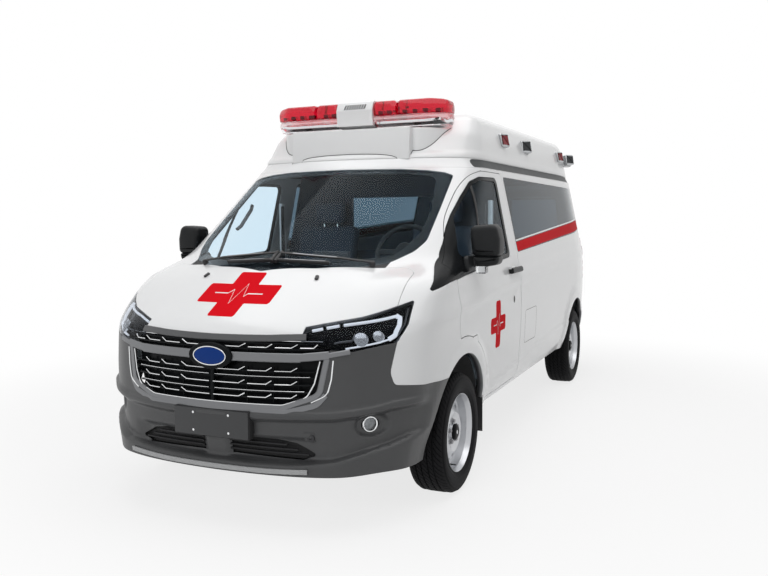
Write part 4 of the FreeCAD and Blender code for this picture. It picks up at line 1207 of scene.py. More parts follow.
lens, base, bright, dark = Gather(), Gather(), Gather(), Gather()
for side in (1, -1):
    for x0, x1 in LENS_ENDS:
        ends = [.612, .622, .630, .636] if x1 > .5 else [x1 - .004, x1]
        xs = [x0, x0 + .004] + list(np.linspace(x0 + .012, min(x1, .60), 8)) + ends
        lens.add([bar_ring(side * x, RED_LOW, BAR_TOP, lens_pinch(x, x0, x1)) for x in xs])
    base.add([bar_ring(side * x, BAR_LOW, RED_LOW - .003, .002, .040)
              for x in (.134, .30, .52, .56, .60, .622, .632, .636)])
    bright.add(side_box(side, .140, .590, BAR_FRONT + .055, BAR_BACK - .055, 2.176, 2.196))
    for x in HEAD_XS:
        y = BAR_FRONT + .06 + (.03 if x > .5 else 0)
        bright.add(side_box(side, x - .022, x + .022, y, y + .11, RED_LOW + .006, RED_LOW + .034))
        dark.add(side_box(side, x - .015, x + .015, y - .012, y - .001, RED_LOW + .010, RED_LOW + .030))
    dark.add(side_box(side, .37, .43, BAR_FRONT + .08, BAR_FRONT + .20, 2.128, BAR_LOW + .004))
    bright.add(side_box(side, .13, .58, BAR_FRONT + .075, BAR_BACK - .065, BAR_LOW - .008, BAR_LOW + .004))
dark.add(spun([(.052, 0), (.050, .012), (.040, .022), (.020, .027), (.002, .028)],
              (.27, BAR_BACK - .03, 2.294), "z", 24))
dress(lens.build("light_bar_lenses"), "body", [RED_LENS], "light_bar", slot="red_lens")
dress(base.build("light_bar_base"), "body", [LENS], slot="lamp")
dress(bright.build("light_bar_reflectors"), "body", [CHROME], slot="steel")
dress(dark.build("light_bar_dark_parts"), "body", [MATT], slot="black")

# %% Speaker block with its slanted slots
SPEAKER_LOW = 2.204
SLOT_COUNT, SLOT_PITCH, SLOT_LONG, SLOT_HALF = 9, .018, .036, .0045


def speaker_ring(x):
    y0, y1, shoulder, top = BAR_FRONT - .006, BAR_BACK + .006, SPEAKER_LOW + .06, BAR_TOP + .006
    outline = [(y0 + .012, BAR_LOW + .010), (y0, shoulder, .02), (y0 + .030, top, .018),
               (y1 - .030, top, .018), (y1, shoulder, .02), (y1 - .012, BAR_LOW + .010)]
    return [(x, y, z) for y, z in rounded(outline, 4)]


speaker = Gather().add([speaker_ring(x) for x in (-.132, -.130, .130, .132)])
dress(speaker.build("speaker_block"), "body", [WHITE_GRP], slot="white")
slots = Gather()
lean = Vector((0, .030, BAR_TOP - SPEAKER_LOW - .054)).normalized()
face_out = Vector((0, -lean.z, lean.y))
along = (lean + Vector((.22, 0, 0))).normalized() * SLOT_LONG
wide = Vector((SLOT_HALF, 0, 0))
for k in range(SLOT_COUNT):
    foot = Vector((-.072 + k * SLOT_PITCH, BAR_FRONT - .004, SPEAKER_LOW + .066)) + face_out * .0006
    ring = [foot - wide, foot + wide, foot + wide + along, foot - wide + along]
    slots.add([[tuple(p - face_out * .004) for p in ring], [tuple(p + face_out * .0004) for p in ring]])
dress(slots.build("speaker_slots"), "body", [MATT], slot="black")

# %% Sign box and its fairing
SIGN_HALF, SIGN_TOP, SIGN_TALL = .430, 2.130, .205
SIGN_Y = .577
box_plan = rounded([(-SIGN_HALF, SIGN_Y, .006), (SIGN_HALF, SIGN_Y, .006), (SIGN_HALF, .640),
                    (-SIGN_HALF, .640)], 4)
sign = Gather().add(slab(box_plan, SIGN_TALL, .004,
                         lambda a, b, c: (a, FRONT + b + .016 * c / SIGN_TALL, SIGN_TOP - SIGN_TALL + c)))
dress(sign.build("sign_face"), "body", [WHITE_GRP], "sign_box", slot="white")
quarter = np.linspace(0, math.pi / 2, 25)
swell = [(.4285 + .2315 * math.sin(t), .642 + .478 * (1 - math.cos(t))) for t in quarter]
fairing = Gather().add(slab(whole(swell), .203, .010, lambda a, b, c: (a, FRONT + b, SIGN_TOP - .204 + c)))
dress(fairing.build("sign_fairing"), "body", [WHITE_GRP], slot="white")
roof_tree = BVHTree.FromPolygons([v.co for v in roof.data.vertices],
                                 [tuple(p.vertices) for p in roof.data.polygons])


def roof_height(x, y):
    """Height just above the roof skin at a place seen from above."""
    hit = roof_tree.ray_cast(Vector((x, y, 3)), Vector((0, 0, -1)))
    return (hit[0].z if hit[0] else 1.9) + .001


gasket = Gather()
for side in (1, -1):
    foot = divided([(side * (x + .001), FRONT + y) for x, y in [(.430, .579)] + swell], .02, closed=False)
    path = [(x, y, min(roof_height(x, y), SIGN_TOP)) for x, y in foot]
    gasket.add(rail(path, [(side * .8, -.3, .5)] * len(path), box_section(.004, .0025)))
edge = [(x, FRONT + SIGN_Y, roof_height(x, FRONT + SIGN_Y)) for x in np.linspace(-.43, .43, 30)]
gasket.add(rail(edge, [(0, -1, .4)] * len(edge), box_section(.0035, .002)))
dress(gasket.build("sign_gasket"), "body", [RUBBER], slot="black")

# %% Lamps along the roof edge
LAMPS_ON_EDGE = ((1.555, .742, 17), (2.199, .752, 33), (3.491, .742, 17), (3.942, .752, 33))   # y, x, yaw
LAMP_DEPTH, LAMP_Z, LAMP_TILT = .058, 2.090, math.radians(12)
bezel, glass, pad = Gather(), Gather(), Gather()
square = oblong(-.052, .052, -.049, .049, .012)
wide = oblong(-.066, .066, -.056, .056, .02)
for side in (1, -1):
    for k, (y, x, yaw) in enumerate(LAMPS_ON_EDGE):
        yaw = math.radians(yaw)
        face = Vector((side * math.cos(LAMP_TILT) * math.cos(yaw), -math.cos(LAMP_TILT) * math.sin(yaw),
                       math.sin(LAMP_TILT)))
        along = Vector((side * math.sin(yaw), math.cos(yaw), 0))
        up = face.cross(along) * side
        seat = Vector((side * x, FRONT + y, LAMP_Z))

        def place(a, b, c):
            return tuple(seat + along * a + up * b + face * c)

        bezel.add(slab(square, LAMP_DEPTH, .006, place))
        glass.add(slab(shrunk(square, .015), .008, .003, lambda a, b, c: place(a, b, c + LAMP_DEPTH - .004)),
                  slot=k % 2)
        pad.add(slab(wide, .050, .012, lambda a, b, c: place(a, b, c - .040)))
lamp_faces = [finish("red_lamp_face", (.24, .010, .018), .25, ior=1.3),
              finish("clear_lamp_face", (.035, .037, .040), .25, ior=1.3)]
dress(bezel.build("side_lamp_bezels"), "body", [BRIGHT], "side_lamps", slot="steel")
dress(glass.build("side_lamp_lenses"), "body", lamp_faces, slot="red_lens")
dress(pad.build("side_lamp_bases"), "body", [WHITE_GRP], slot="white")
print("roof gear done")

# %% [markdown]
# ## The face of the van
# The front is one dark moulding from the bonnet to the ground. It has form of its own: a
# waist crease that runs round to the arch, a recess for the lower intake, a lip at the
# bottom, and a raised frame round the grille. All that is a lift of the same skin, written
# as distances from a few lines.

# %% Bumper
INTAKE = [(.085, .470), (.085, .378), (.470, .372, .02), (.545, .398, .01), (.440, .452, .02), (.330, .470)]
FOG_X, FOG_Z, FOG_SQUASH, FOG_HOLE = .783, .543, 1.15, .036
TOW_X, TOW_Z = .507, .489
PLATE_Z, PLATE_W, PLATE_H = .544, .440, .136


def step_up(value, start, stop):
    """Smooth rise from 0 to 1."""
    t = np.clip((value - start) / (stop - start), 0, 1)
    return t * t * (3 - 2 * t)


def crease_height(x):
    """Height of the waist crease: level across the front, higher round the corner."""
    return np.interp(abs(x), [0, .22, .614, .792, .858, .95, .99], [.606, .606, .613, .634, .650, .655, .650])


def low_crease_height(x):
    return np.interp(abs(x), [0, .40, .62, .84, .95], [.352, .352, .375, .435, .480])


def bumper_lift(uv, place):
    """How far the bumper's surface stands off the skin, in metres."""
    x, z = abs(place[:, 0]), place[:, 2]
    crease, low_crease = crease_height(x), low_crease_height(x)
    fade = 1 - step_up(place[:, 1] - FRONT, -.62, -.45)
    waist = step_up(z, crease - .004, crease + .020)
    middle_face = (1 - step_up(z, crease - .055, crease - .015)) * step_up(z, low_crease, low_crease + .016)
    foot = step_up(z, low_crease - .008, low_crease + .002)
    scoop = (step_up(x, .05, .10) * (1 - step_up(x, .47, .60)) * (1 - step_up(z, .46, .50))
             * step_up(z, .362, .378))
    fog = np.hypot(x - FOG_X, (z - FOG_Z) * FOG_SQUASH)
    lift = .016 * (1 - waist) * fade - .036 * middle_face * fade + .006 * (1 - foot) * fade - .020 * scoop
    return lift - .026 * (1 - step_up(fog, .050, .078)) * fade


def fog_ring(s, reach, squash, count):
    """Outline round a fog lamp, seen from ahead; s is the side."""
    return np.array([from_front(s * (FOG_X + reach * math.cos(t)), FOG_Z + reach / squash * math.sin(t))
                     for t in np.linspace(0, 2 * math.pi, count)])


intakes = [seen(from_front, [(s * a, *rest) for a, *rest in INTAKE]) for s in (1, -1)]
fog_holes = [fog_ring(s, FOG_HOLE, 1.0, 33)[:-1] for s in (1, -1)]
centre_line = np.array([(-.004, .302), (-.004, .905), (.004, .905), (.004, .302)])
bumper_all = within(*BUMPERS, centre_line)
bumper_cuts = [GRILLE, *LAMPS, *ARCHES, *intakes, *fog_holes]
creases = []
for height, offsets in ((crease_height, (-.055, -.042, -.028, -.015, -.004, .008, .020)),
                        (low_crease_height, (-.008, .002, .009, .016))):
    for offset in offsets:
        heights = height(np.linspace(0, .99, 100)) + offset
        places = np.array([from_front(x, z) for x, z in zip(np.linspace(0, .94, 95), heights)])
        creases += [places, *sided(-1, places[1:])]
for s in (1, -1):
    creases += [fog_ring(s, reach, FOG_SQUASH, 37) for reach in (.046, .053, .061, .069, .076)]
bumper = panel("front_bumper_skin", BUMPERS + bumper_cuts,
               lambda uv: bumper_all(uv) & ~within(*bumper_cuts)(uv),
               step=.014, depth=.012, lift=bumper_lift, creases=creases)
dress(bumper, "body", [CHARCOAL, MATT], "front_bumper", slot="charcoal")


def bumper_point(x, z, lift=0.0):
    """Point and outward way on the bumper as seen from ahead."""
    uv = np.array([from_front(x, z)])
    place, out = skin_point(uv), unit(skin_normal(uv))
    return (place + out * (bumper_lift(uv, place)[:, None] + lift))[0], out[0]


def bumper_path(points, lift=0.0, step=.02):
    pairs = [bumper_point(x, z, lift) for x, z in divided(points, step, closed=False)]
    return [p for p, _ in pairs], [o for _, o in pairs]


def front_path(points, lift=0.0, step=.03):
    return on_skin([from_front(x, z) for x, z in divided(points, step, closed=False)], lift)


def laid(target, path, *section):
    """Add a rail with a cut box section along a (points, outward ways) path."""
    target.add(rail(*path, box_section(*section)))


# %% Intake bars, skid strip, fog lamps, tow cover and plate
bars, chrome, satin, grey, lens = Gather(), Gather(), Gather(), Gather(), Gather()
disc = ellipse(.034, .034, 28)
for s in (1, -1):
    for k, z in enumerate((.398, .421, .445)):
        laid(bars, bumper_path([(s * .080, z + .006), (s * (.50 - .055 * k), z)], lift=-.004), .009, .016)
    hole = divided(rounded([(s * a, *rest) for a, *rest in INTAKE]), .02)
    bars.add([[bumper_point(x, z, lift)[0] for x, z in hole] for lift in (-.034, -.030)])
    centre, out = bumper_point(s * FOG_X, FOG_Z, -.012)
    facing = standing(centre, out)
    rim_path = [facing(a * 1.06, b * 1.06, .006) for a, b in disc]
    rim = rail(rim_path, [tuple(out)] * len(disc), box_section(.008, .010), closed=True)
    chrome.add(rim, closed_ends=False)
    lens.add(slab(disc, .012, .005, facing))
    satin.add(slab([(a * .9, b * .9) for a, b in disc], .004, .001, lambda a, b, c: facing(a, b, c - .010)))
laid(grey, bumper_path([(-.56, .334), (-.30, .327), (.30, .327), (.50, .332)], lift=.003), .024, .008)
dress(bars.build("intake_bars"), "body", [MATT], slot="black")
behind_intakes = seen(from_front, [(-.64, .335), (-.64, .500), (.64, .500), (.64, .335)])
fitted("intake_backing", [behind_intakes], "body", [MATT, MATT], slot="black", depth=.004, step=.05,
       lift=sunk(.062))
tow = Gather().add(slab(oblong(-.026, .026, -.026, .026, .004), .004, .0015,
                        lambda a, b, c: tuple(bumper_point(TOW_X + a, TOW_Z + b, c - .0005)[0])))
dress(tow.build("tow_cover"), "body", [CHARCOAL], slot="charcoal")
plate_y = CAD_BOX[0].y + .0005
outline = oblong(-PLATE_W / 2, PLATE_W / 2, -PLATE_H / 2, PLATE_H / 2, .006, 4)
plate = Gather().add(slab(outline, .004, .001, lambda a, b, c: (a, plate_y + .002 + c, PLATE_Z + b)))
holder = Gather().add(slab(shrunk(outline, -.004), .040, .003,
                           lambda a, b, c: (a, plate_y + .0065 + c, PLATE_Z + b)))
PLATE_SCREW = [(.0001, .0), (.004, .0), (.006, .0012), (.006, .003)]
for x in (-.105, .105):
    for z in (-.045, .045):
        chrome.add(spun(PLATE_SCREW, (x, plate_y, PLATE_Z + z), "y", 16))
dress(plate.build("blank_plate"), "body", [PLATE], slot="charcoal")
dress(holder.build("plate_holder"), "body", [MATT], slot="charcoal")
print("bumper done")

# %% [markdown]
# ## Grille
# The grille is a dark recess with blades across it. On the blades stand short bright pieces,
# each flat and then rising outward, in rows that alternate with thin straight lines. A grey
# bar crosses at badge height, an inner bright rim closes the mesh below, and a wider satin
# frame runs outside it. The badge stays blank.

# %% Recess, blades and bright pieces
GRILLE_DEEP = .030
fitted("grille_recess", [GRILLE], "body", [GLOSS, MATT], slot="black", depth=.004, step=.03,
       lift=sunk(GRILLE_DEEP + .02))


def half_width(z):
    """Half width of the open grille at a height."""
    return float(np.interp(z, [.63, .66, .70, .76, .86, .90, .96], [.30, .430, .500, .528, .545, .575, .590]))


HOOKS = ((.012, .155, .190), (.205, .300, .330), (.345, .425, .455), (.468, .530, .548))  # flat from, to, tip
blades, bright = Gather(), Gather()
for z in (.687, .717, .752, .787, .817, .925, .955):
    w = half_width(z)
    laid(blades, front_path([(-w, z - .004), (w, z - .004)], lift=-GRILLE_DEEP), .009, .022)
for z in (.787, .717, .962):
    for s in (1, -1):
        line = [(s * .018, z + .002), (s * (half_width(z) - .02), z + .002)]
        laid(bright, front_path(line, lift=-.007), .0028, .0026)
for z, run in ((.687, 3), (.752, 3), (.817, 3), (.930, 4)):
    for s in (1, -1):
        for x, flat, end in HOOKS[:run]:
            hook = [(s * x, z), (s * flat, z), (s * end, z + .018)]
            laid(bright, front_path(hook, lift=-.004, step=.012), .0046, .005)
            post = [(s * (end + .004), z - .030), (s * (end + .004), z + .018)]
            laid(blades, front_path(post, lift=-GRILLE_DEEP), .005, .012)
laid(blades, front_path([(0, .655), (0, .85)], lift=-GRILLE_DEEP), .020, .026)
dress(blades.build("grille_blades"), "body", [GLOSS], "grille", slot="black")
dress(bright.build("grille_bright_pieces"), "body", [CHROME], slot="steel")

# %% Frames, centre bar and badge
BADGE_Z = .880
inner_u = rounded(whole([(.560, .868), (.536, .760, .05), (.500, .690, .06), (.385, .652, .10)]), 8)
laid(chrome, front_path(inner_u, lift=-.006, step=.015), .007, .012)
outer_u = rounded(whole([(.590, .880), (.556, .700, .06), (.388, .640, .10)]), 8)
laid(satin, front_path(outer_u, lift=-.010, step=.015), .030, .018)
shelf = rounded(whole([(.585, .705), (.545, .655, .06), (.400, .618, .12)]), 8)
laid(satin, bumper_path(shelf, lift=-.003, step=.015), .030, .007)
BAR_RUNS = (((.110, BADGE_Z + .002), (.470, BADGE_Z + .003), .044),
            ((.455, BADGE_Z + .003), (.600, .897), .040),
            ((.585, .893), (.690, .913), .026))                 # start, stop, width of the centre bar
for s in (1, -1):
    hook = rounded([(s * .618, .872), (s * .610, .780), (s * .592, .705, .05), (s * .520, .668)], 6)
    laid(chrome, bumper_path(hook, lift=-.002, step=.012), .008, .008)
    for start, stop, wide in BAR_RUNS:
        run = [(s * start[0], start[1]), (s * stop[0], stop[1])]
        laid(satin, front_path(run, lift=-.004, step=.02), wide, .014)
strip = whole([(-.490, .992), (-.30, .982), (-.004, .977)])
top_strip = Gather()
laid(top_strip, front_path([(x, z - .006) for x, z in strip], lift=-.012, step=.02), .034, .013)
dark_trim = finish("dark_grey_trim", (.075, .077, .080), .38, vary=.05)
dress(top_strip.build("grille_top_strip"), "body", [dark_trim], slot="trim")
oval = ellipse(.108, .054, 48)
badge_y = float(skin_point([(0.0, BADGE_Z)])[0][1])
badge_front = max(badge_y - .022, CAD_BOX[0].y + .001)
ring = Gather().add(slab([(a * 1.18, b * 1.22) for a, b in oval], .030, .006,
                         lambda a, b, c: (a, badge_front + .004 + c, BADGE_Z + b)))
dress(ring.build("badge_surround"), "body", [GLOSS], slot="black")
face = Gather().add(slab([(a * .84, b * .80) for a, b in oval], .010, .003,
                         lambda a, b, c: (a, badge_front + .001 + c, BADGE_Z + b)))
badge_blue = finish("badge_blue", (.006, .036, .190), .30, ior=1.2)
dress(face.build("badge_blank"), "body", [badge_blue], slot="steel")
rim_path = [(a * .88, badge_front + .003, BADGE_Z + b * .85) for a, b in oval]
rim = rail(rim_path, [(0, -1, 0)] * len(oval), box_section(.005, .0025), closed=True)
chrome.add(rim, closed_ends=False)

# %% [markdown]
# ## Headlamps
# Each lamp is a dark housing set back in the body, a white light guide shaped like a C lying
# on its side, two small mirrors, and a smoked cover that closes the outline with the skin.

# %% Housing, light guide and cover
LAMP_RAILS = (                                   # (points seen from ahead, width, height, lift)
    ([(.500, 1.025), (.545, 1.0367)], .012, .012, -.024),
    ([(.560, 1.0406), (.612, 1.05412)], .012, .012, -.024),
    ([(.630, 1.058), (.70, 1.072), (.780, 1.087), (.836, 1.098)], .012, .012, -.024),
    ([(.836, 1.100), (.856, 1.090), (.864, 1.060), (.858, 1.010), (.842, .975)], .022, .014, -.024),
    ([(.846, .975), (.810, .955), (.740, .938), (.672, .926)], .008, .010, -.024))
LAMP_RIBS = (([(.62, .955), (.70, .985), (.70, 1.03)], .010, .012, -.036),
             ([(.875, 1.125), (.885, 1.06), (.868, .990)], .006, .012, -.030))
BOWLS = ((.735, 1.000, .036), (.800, 1.020, .030))      # (x, z, radius)
guide, mirror_bowl, housing = Gather(), Gather(), Gather()
for word, s in SIDES:
    area = sided(s, LAMP)
    fitted(f"lamp_housing_{word}", area, "body", [GLOSS, MATT], slot="black", depth=.004, step=.03,
           lift=sunk(.040))
    fitted(f"lamp_cover_{word}", area, "body", [SMOKE, SMOKE], slot="glass", depth=.003, step=.02,
           lift=sunk(.001), roll=.8)
    for target, rails in ((guide, LAMP_RAILS), (housing, LAMP_RIBS)):
        for points, width, height, lift in rails:
            path = front_path([(s * x, z) for x, z in points], lift=lift, step=.012)
            laid(target, path, width, height)
    for x, z, r in BOWLS:
        centre, out = front_path([(s * x, z)], -.034)
        facing = standing(centre[0], out[0])
        for q, look in ((1.0, 0), (.55, 1)):
            levels = ((1, 0), (1, .010), (.7, .016 * q), (.05, .018 * q))
            mirror_bowl.add([[facing(a, b, h) for a, b in ellipse(share * q * r, share * q * r, 24)]
                             for share, h in levels], slot=look)
dress(guide.build("light_guides"), "body", [LED], "headlamps", slot="lamp")
dress(mirror_bowl.build("lamp_mirrors"), "body", [CHROME, SMOKE], slot="lamp")
dress(housing.build("lamp_ribs"), "body", [SATIN], slot="black")
dress(chrome.build("front_chrome"), "body", [CHROME], slot="steel")
dress(satin.build("front_satin_trim"), "body", [SATIN], slot="trim")
pale_strip = finish("light_grey_plastic", (.36, .365, .37), .4)
dress(grey.build("front_grey_strips"), "body", [pale_strip], slot="trim")
dress(lens.build("fog_lamp_lenses"), "body", [LENS], slot="lamp")
print("front done")

# %% [markdown]
# ## Glass
# Every pane is a thin solid sheet of the same skin, a little below the paint. Its black
# border is a second sheet behind it, as on a real bonded window, so it shines like glass and
# not like paint.


# %% Windscreen and door glass
def border(name, outer, clear, body, below, step=.05):
    """Black edge behind a pane, between its outline and its clear part."""
    fitted(name, [outer, clear], body, [GLOSS, MATT], slot="black", depth=.0015, step=step,
           lift=sunk(below), roll=.3)


SCREEN_CLEAR = seen(from_front, whole([(.38, 1.832), (.52, 1.822), (.640, 1.802, .05), (.702, 1.600),
                                       (.704, 1.470, .06), (.640, 1.345, .10), (.400, 1.322)],
                                      [(0, 1.836)], [(0, 1.318)]))
SASH = seen(on_left, [(.636, 1.800), (.660, 1.800), (.425, 1.250), (.400, 1.250)])
fitted("windscreen_glass", [SCREEN], "body", [WINDOW, WINDOW], "windscreen", slot="glass", depth=.005,
       step=.05, lift=sunk(.003), roll=.6)
border("windscreen_border", SCREEN, SCREEN_CLEAR, "body", .0085, .04)
for word, s in SIDES:
    door = f"door_front_{word}"
    surround, clear, sash = sided(s, SURROUND, DOOR_GLASS, SASH)
    edges = door_edges(s)
    trim = panel(f"door_window_trim_{word}", [surround, clear] + edges,
                 lambda uv: less(surround, clear)(uv) & door_area(uv, s),
                 depth=.012, step=.03, lift=sunk(.003), roll=.8)
    dress(trim, door, [GLOSS, MATT], slot="black")
    sail = panel(f"pillar_triangle_{word}", [surround] + edges,
                 lambda uv: inside(uv, surround) & ~door_area(uv, s), depth=.012, step=.03, lift=sunk(.003))
    dress(sail, "body", [GLOSS, MATT], slot="black")
    fitted(f"door_pane_{word}", [clear], door, [WINDOW, WINDOW], f"door_glass_{word}", slot="glass",
           depth=.005, step=.05, lift=sunk(.008), roll=.5)
    bar = panel(f"window_sash_{word}", [sash, clear], lambda uv: inside(uv, sash) & inside(uv, clear),
                depth=.010, step=.03, lift=sunk(.002), roll=.6)
    dress(bar, door, [MATT, MATT], slot="black")

# %% Side and rear glass with the red band
BAND_RED = seen(on_left, [(1.304, 1.305, .006), (1.304, 1.370), (3.888, 1.508, .01), (3.888, 1.416, .02)])
BAND_LINE = seen(on_left, [(1.304, 1.375), (1.304, 1.386), (3.888, 1.524), (3.888, 1.513)])
for word, s in SIDES:
    outer = sided(s, SIDE_GLASS)[0]
    fitted(f"side_pane_{word}", [outer], "body", [DARK_WINDOW, DARK_WINDOW],
           *(["side_glass"] if s > 0 else []), slot="glass", depth=.005, step=.06, lift=sunk(.001), roll=.6)
    border(f"side_pane_border_{word}", outer, sided(s, drawn_in(SIDE_GLASS, .030))[0], "body", .0065)
    for name, loop, look, slot in (("red_band", BAND_RED, RED_FILM, "red_lens"),
                                   ("white_line", BAND_LINE, WHITE, "white")):
        fitted(f"{name}_{word}", sided(s, loop), "body", [look, look], slot=slot, depth=.0008, step=.05,
               lift=sunk(-.0004), roll=.15)
    outer = sided(s, REAR_GLASS)[0]
    door = f"door_rear_{word}"
    fitted(f"rear_pane_{word}", [outer], door, [DARK_WINDOW, DARK_WINDOW], f"rear_glass_{word}",
           slot="glass", depth=.005, step=.05, lift=sunk(.003), roll=.6)
    border(f"rear_pane_border_{word}", outer, sided(s, drawn_in(REAR_GLASS, .022))[0], door, .0085)
print("glass done")

# %% [markdown]
# ## Door mirrors, handles and hinges
# The mirror is a tall head over a level arm that reaches out from the black triangle. Each
# half is an outline seen from ahead with deep rounded edges; the reflecting glass sits in
# the back of the head.

# %% Mirrors
MIRROR_PARTS = (                 # (corners, corner steps, depth, bevel, y, share of rake, edge steps, kind)
    ([(.968, 1.325, .02), (.952, 1.440, .05), (.958, 1.500, .035), (1.105, 1.510, .045),
      (1.128, 1.420, .06), (1.126, 1.318, .03)], 6, .150, .035, .200, 1, 5, "shell"),
    ([(.950, 1.262, .02), (.952, 1.326, .012), (1.124, 1.322, .012), (1.116, 1.275, .03),
      (1.050, 1.262, .03)], 6, .118, .022, .214, 1, 4, "shell"),
    ([(.930, 1.250, .015), (.935, 1.306, .01), (.990, 1.308, .01), (.990, 1.262, .01)],
     4, .095, .012, .205, 0, 3, "shell"),
    ([(.985, 1.352, .02), (.975, 1.486, .03), (1.090, 1.492, .03), (1.106, 1.346, .02)],
     5, .004, .001, .350, 1, 3, "glass"),
    ([(.985, 1.280, .01), (.985, 1.314, .01), (1.100, 1.312, .01), (1.096, 1.282, .01)],
     4, .004, .001, .331, 1, 3, "glass"))
MIRROR_FOOT = [(.10, 1.236, .02), (.12, 1.330, .03), (.34, 1.322, .03), (.36, 1.250, .02)]
for word, s in SIDES:
    body = f"door_front_{word}"
    shell, glassy, small = Gather(), Gather(), Gather()
    for corners, steps, depth, bevel, y, rake, edge_steps, kind in MIRROR_PARTS:
        target = shell if kind == "shell" else glassy
        target.add(slab(rounded(corners, steps), depth, bevel,
                        lambda a, b, c: (s * a, FRONT + y + c + .05 * rake * (a - .95), b), edge_steps))
    shell.add(slab(rounded(MIRROR_FOOT, 4), .030, .008,
                   lambda a, b, c: (s * (.985 - .12 * (b - 1.236) - c), FRONT + a, b)))
    small.add(side_box(s, .985, 1.045, FRONT + .225, FRONT + .285, 1.222, 1.268, .008))
    dress(shell.build(f"mirror_shell_{word}"), body, [BLACK_PLASTIC], f"mirror_{word}", slot="black")
    dress(glassy.build(f"mirror_glass_{word}"), body, [CHROME], slot="steel")
    dress(small.build(f"mirror_marker_lamp_{word}"), body, [LENS], slot="lamp")
print("mirrors done")

# %% [markdown]
# ## Small outside pieces
# Wipers, washer jets, handles, locks and the medical signs are small, but they tell the eye
# how big the vehicle is. Rods follow the skin through the same rail helper as the grille;
# the signs are thin films with their own slight thickness, so they can never flicker
# against the paint.


# %% Film helper
def film(name, loops, body, look, slot, height=.0004, step=.03):
    """Thin film laid on the skin inside an outline."""
    return fitted(name, loops, body, [look, look], slot=slot, depth=.0008, step=step, roll=.12,
                  lift=sunk(-height))


def plus(a, b, half_a, half_b, arm_a, arm_b, radius):
    """Corners of a plus sign with rounded arm ends."""
    turn = [(arm_a, half_b), (arm_a, arm_b), (half_a, arm_b),
            (half_a, -arm_b), (arm_a, -arm_b), (arm_a, -half_b)]
    turn += [(-x, -y) for x, y in turn]
    return [(a + x, b + y, radius if max(abs(x) / half_a, abs(y) / half_b) > .99 else radius * .4)
            for x, y in turn]


def pulse(a, b, half, tall, thick):
    """Outline of a heartbeat line that runs across a sign."""
    line = [(-1, 0), (-.42, 0), (-.26, .38), (-.06, -1), (.14, 1), (.32, -.28), (.42, 0), (1, 0)]
    return ([(a + x * half, b + y * tall + thick) for x, y in line]
            + [(a + x * half, b + y * tall - thick) for x, y in line[::-1]])


# %% Medical signs
SIGNS = [(word, s, f"door_front_{word}", on_left, (.700, .868), (.166, .150, .052, .050, .022),
          (.105, .065, .0030)) for word, s in SIDES]
SIGNS.append(("bonnet", 1, "bonnet", from_front, (-.030, 1.160), (.226, .101, .082, .043, .012),
              (.150, .045, .0022)))
for word, s, body, view, centre, cross, beat in SIGNS:
    sign = sided(s, seen(view, plus(*centre, *cross), step=.01))
    film(f"medical_plus_{word}", sign, body, RED_FILM, "red_lens", height=.0006)
    line = sided(s, seen(view, pulse(*centre, *beat), step=.01))
    film(f"pulse_line_{word}", line, body, WHITE, "white", height=.0012, step=.02)

# %% Wipers and washer jets
MEET = .050                                     # the two wipers meet a little to the left of the middle
WIPER_RODS = (                      # (points from the meeting place, lift, width, height, kind)
    ([(.52, 1.290), (.36, 1.313), (.012, 1.343)], .022, .014, .008, "rubber"),
    ([(.335, 1.3155), (.090, 1.3365)], .029, .009, .003, "grey"),
    ([(.31, 1.299), (.014, 1.314)], .006, .016, .018, "rubber"),
    ([(.290, 1.300), (.060, 1.3115)], .0245, .006, .002, "grey"),
    ([(.012, 1.304), (.014, 1.352)], .006, .020, .022, "rubber"))
wipers, grey_parts, jets = Gather(), Gather(), Gather()
jet = oblong(-.020, .020, -.010, .010, .008, 4)
for s in (1, -1):
    for points, lift, width, height, kind in WIPER_RODS:
        path = front_path([(MEET + s * x, z) for x, z in points], lift=lift)
        laid(wipers if kind == "rubber" else grey_parts, path, width, height)
    place, out = front_path([(MEET + s * .52, 1.290)], .002)
    facing = standing(place[0], out[0])
    wipers.add([[facing(a, b, h) for a, b in ellipse(r, r, 20)]
                for r, h in ((.016, 0), (.016, .020), (.010, .028), (.001, .030))])
for s in (1, -1):
    place, out = front_path([(s * .35, 1.236)])
    facing = standing(place[0], out[0])
    jets.add(slab(jet, .010, .004, lambda a, b, c: facing(a, b, .010 - c)))
dress(wipers.build("wipers"), "body", [RUBBER], slot="black")
dress(grey_parts.build("wiper_arm_caps"), "body", [SATIN], slot="trim")
dress(jets.build("washer_jets"), "bonnet", [RUBBER], slot="black")

# %% Door handles, locks and the fuel flap
HANDLE_Z = 1.184
GRIPS = (("left", "door_front_left", 1, .985), ("right", "door_front_right", -1, .985),
         ("slide", "body", -1, 1.365))     # (name, body, side, front end of the grip)


def side_rail(start, stop, z, s, lift, width, height, target, bevel=.25):
    """Level rod on the side of the body."""
    path = [on_left(*point) for point in divided([(start, z), (stop, z)], .02, closed=False)]
    laid(target, on_skin(sided(s, path)[0], lift), width, height, bevel)


